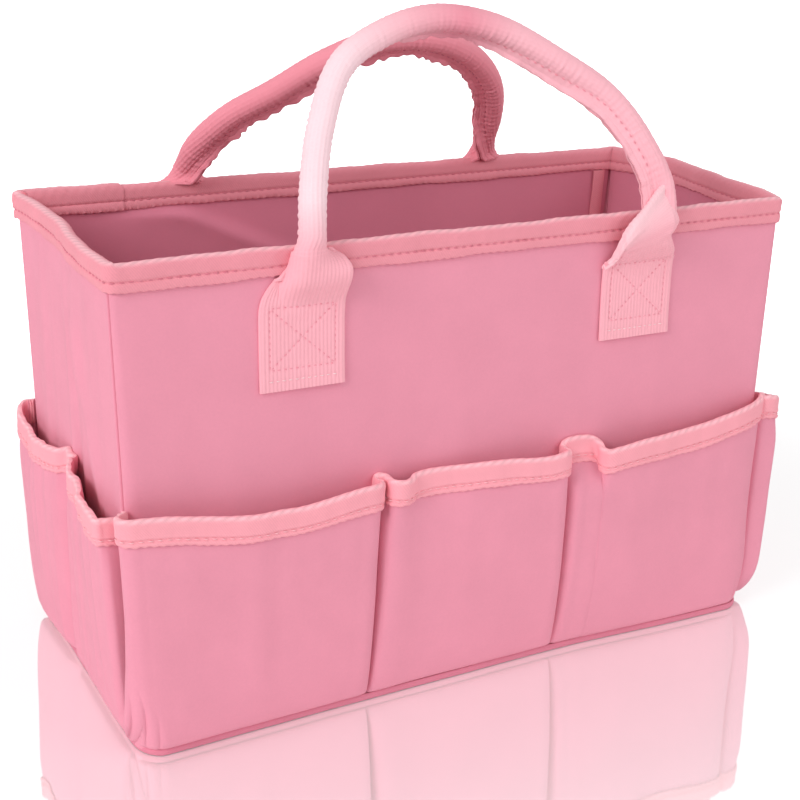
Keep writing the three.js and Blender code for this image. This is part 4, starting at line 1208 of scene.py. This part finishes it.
def handle_stitches(h):
    t = np.linspace(0, 1, 24)
    for end in ("left", "right"):
        for row, (w0, z0, w1, z1) in TAB_ROWS.items():
            a = lerp(z0, z1, t) - HINGE_HEIGHT
            path, out = h.face(a if end == "left" else h.arch - a, lerp(w0, w1, t))
            thread, rise = (PALE_THREAD, 0.3) if row == "last" else (TAB_THREAD, 0.15)
            stitch_row(f"{h.side}_{end}_tab_stitches_{row}", path - out * 0.25, out, thread, pitch=2.6, share=0.78,
                       radius=0.3, rise=rise)
    a = np.arange(26, h.arch - 24, 1.0)
    for name, w in (("inner", SEAM_PLACE), ("outer", -SEAM_PLACE)):
        path, out = h.face(a, w)
        stitch_row(f"{h.side}_flange_stitches_{name}", path - out * 0.1, out, FLANGE_THREAD[h.side],
                   radius=0.28, rise=0.2, body=h.body)


# The room

WHITE = (1, 1, 1, 1)
MATT = (0.9, 0.9, 0.9, 1)
AMBIENT = 0.6
FLOOR_HALF = 6
FLOOR_DROP = 0.0002
FOOT_SPAN = (0.16, 0.077)


def floor_material():
    """A pale floor with a mirror image that fades with the distance from the tote."""
    material = bpy.data.materials.new("pale_floor")
    g = Graph(material)
    outside = [g.math("MAXIMUM", g.less(g.math("ABSOLUTE", place), half), 0.0)
               for place, half in zip(g.place()[1], FOOT_SPAN)]
    far = g.math("SQRT", g.add(*(g.math("POWER", distance, 2.0) for distance in outside)))
    seen = g.node("ShaderNodeLightPath", {}).outputs["Is Camera Ray"]
    glow = g.fade(g.fade(far, 0.1, 0.5), 0.0, 1.0, 0.3, 1.0, kind="LINEAR")
    light = g.node("ShaderNodeEmission", {"Color": WHITE, "Strength": g.times(seen, glow)})
    matt = g.node("ShaderNodeBsdfDiffuse", {"Color": MATT})
    lit = g.node("ShaderNodeAddShader", {0: light.outputs[0], 1: matt.outputs[0]})
    mirror = g.node("ShaderNodeBsdfGlossy", {"Color": WHITE, "Roughness": 0.03})
    mirrored = g.fade(far, 0.02, 0.4, 0.62, 0.0)
    g.finish(g.node("ShaderNodeMixShader", {0: mirrored, 1: lit.outputs[0], 2: mirror.outputs[0]}))
    return material


def room():
    mesh = bpy.data.meshes.new("floor")
    corners = [(x * FLOOR_HALF, y * FLOOR_HALF, 0) for x, y in ((-1, -1), (1, -1), (1, 1), (-1, 1))]
    mesh.from_pydata(corners, [], [(0, 1, 2, 3)])
    mesh.materials.append(floor_material())
    floor = bpy.data.objects.new("floor", mesh)
    floor.location.z = -FLOOR_DROP
    bpy.context.scene.collection.objects.link(floor)
    world = bpy.context.scene.world = bpy.data.worlds.new("studio")
    g = Graph(world)
    path = g.node("ShaderNodeLightPath", {}).outputs
    seen = g.math("MAXIMUM", path["Is Camera Ray"], path["Is Glossy Ray"])
    strength = g.fade(seen, 0.0, 1.0, AMBIENT, 1.0, kind="LINEAR")
    g.finish(g.node("ShaderNodeBackground", {0: WHITE, 1: strength}), "ShaderNodeOutputWorld")


def area_light(name, place, size, watts, target=(0, 0, 0.1)):
    lamp = bpy.data.lights.new(name, "AREA")
    lamp.shape = "DISK"
    lamp.size = size
    lamp.energy = watts
    light = bpy.data.objects.new(name, lamp)
    light.location = place
    light.rotation_euler = (Vector(target) - Vector(place)).to_track_quat("-Z", "Y").to_euler()
    bpy.context.scene.collection.objects.link(light)


FOCAL = 1514
PIXELS = 800
SENSOR = 36
AZIMUTH, ELEVATION, ROLL = (math.radians(a) for a in (-27.9, 19.9, 1.46))
DISTANCE = 0.732
TARGET = Vector((-0.0007, 0, 0.1104))


def camera():
    level = math.cos(ELEVATION)
    back = Vector((math.sin(AZIMUTH) * level, -math.cos(AZIMUTH) * level, math.sin(ELEVATION)))
    right = (-back).cross(Vector((0, 0, 1))).normalized()
    up = right.cross(-back)
    right, up = right * math.cos(ROLL) + up * math.sin(ROLL), up * math.cos(ROLL) - right * math.sin(ROLL)
    data = bpy.data.cameras.new("camera")
    data.sensor_width = SENSOR
    data.lens = FOCAL / PIXELS * SENSOR
    data.clip_start = 0.01
    view = bpy.data.objects.new("camera", data)
    view.matrix_world = Matrix.Translation(TARGET + back * DISTANCE) @ Matrix((right, up, back)).transposed().to_4x4()
    bpy.context.scene.collection.objects.link(view)
    bpy.context.scene.camera = view


for side in range(4):
    outer_wall(side)
boards_and_linings()
base_sheet("base_panel", 1.1, 0.0, 1.0, 0.12, OUTER)
base_sheet("base_lining", -2.9, 3.6, 4.4, 0.35, SHADED_LINING)
add_ring("rim_binding", binding_section, RIM_TAPE, step=0.7)
add_ring("base_welt", welt_section, SHADED_WELT, step=1.5)
add_ring("base_seam_tape", base_tape_section, TAPE)
for side in (FRONT, BACK):
    for sign in (-1, 1):
        corner_tape(side, sign)
for side in range(4):
    band = Band(side)
    pocket_band(band)
    pocket_tape(band)
    pocket_stitches(band)
rim_stitches()
for side in ("front", "back"):
    handle = Handle(side)
    ribbon(handle)
    handle_core(handle)
    handle_stitches(handle)
base_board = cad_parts["base_board"]
base_board.data.materials.clear()
base_board.data.materials.append(BOARD[0])
room()
camera()
area_light("key", (-1.55, -0.62, 1.1), 0.8, 16)
area_light("fill", (0.9, -1.3, 0.9), 1.2, 6)
bpy.context.scene.view_settings.view_transform = "Standard"
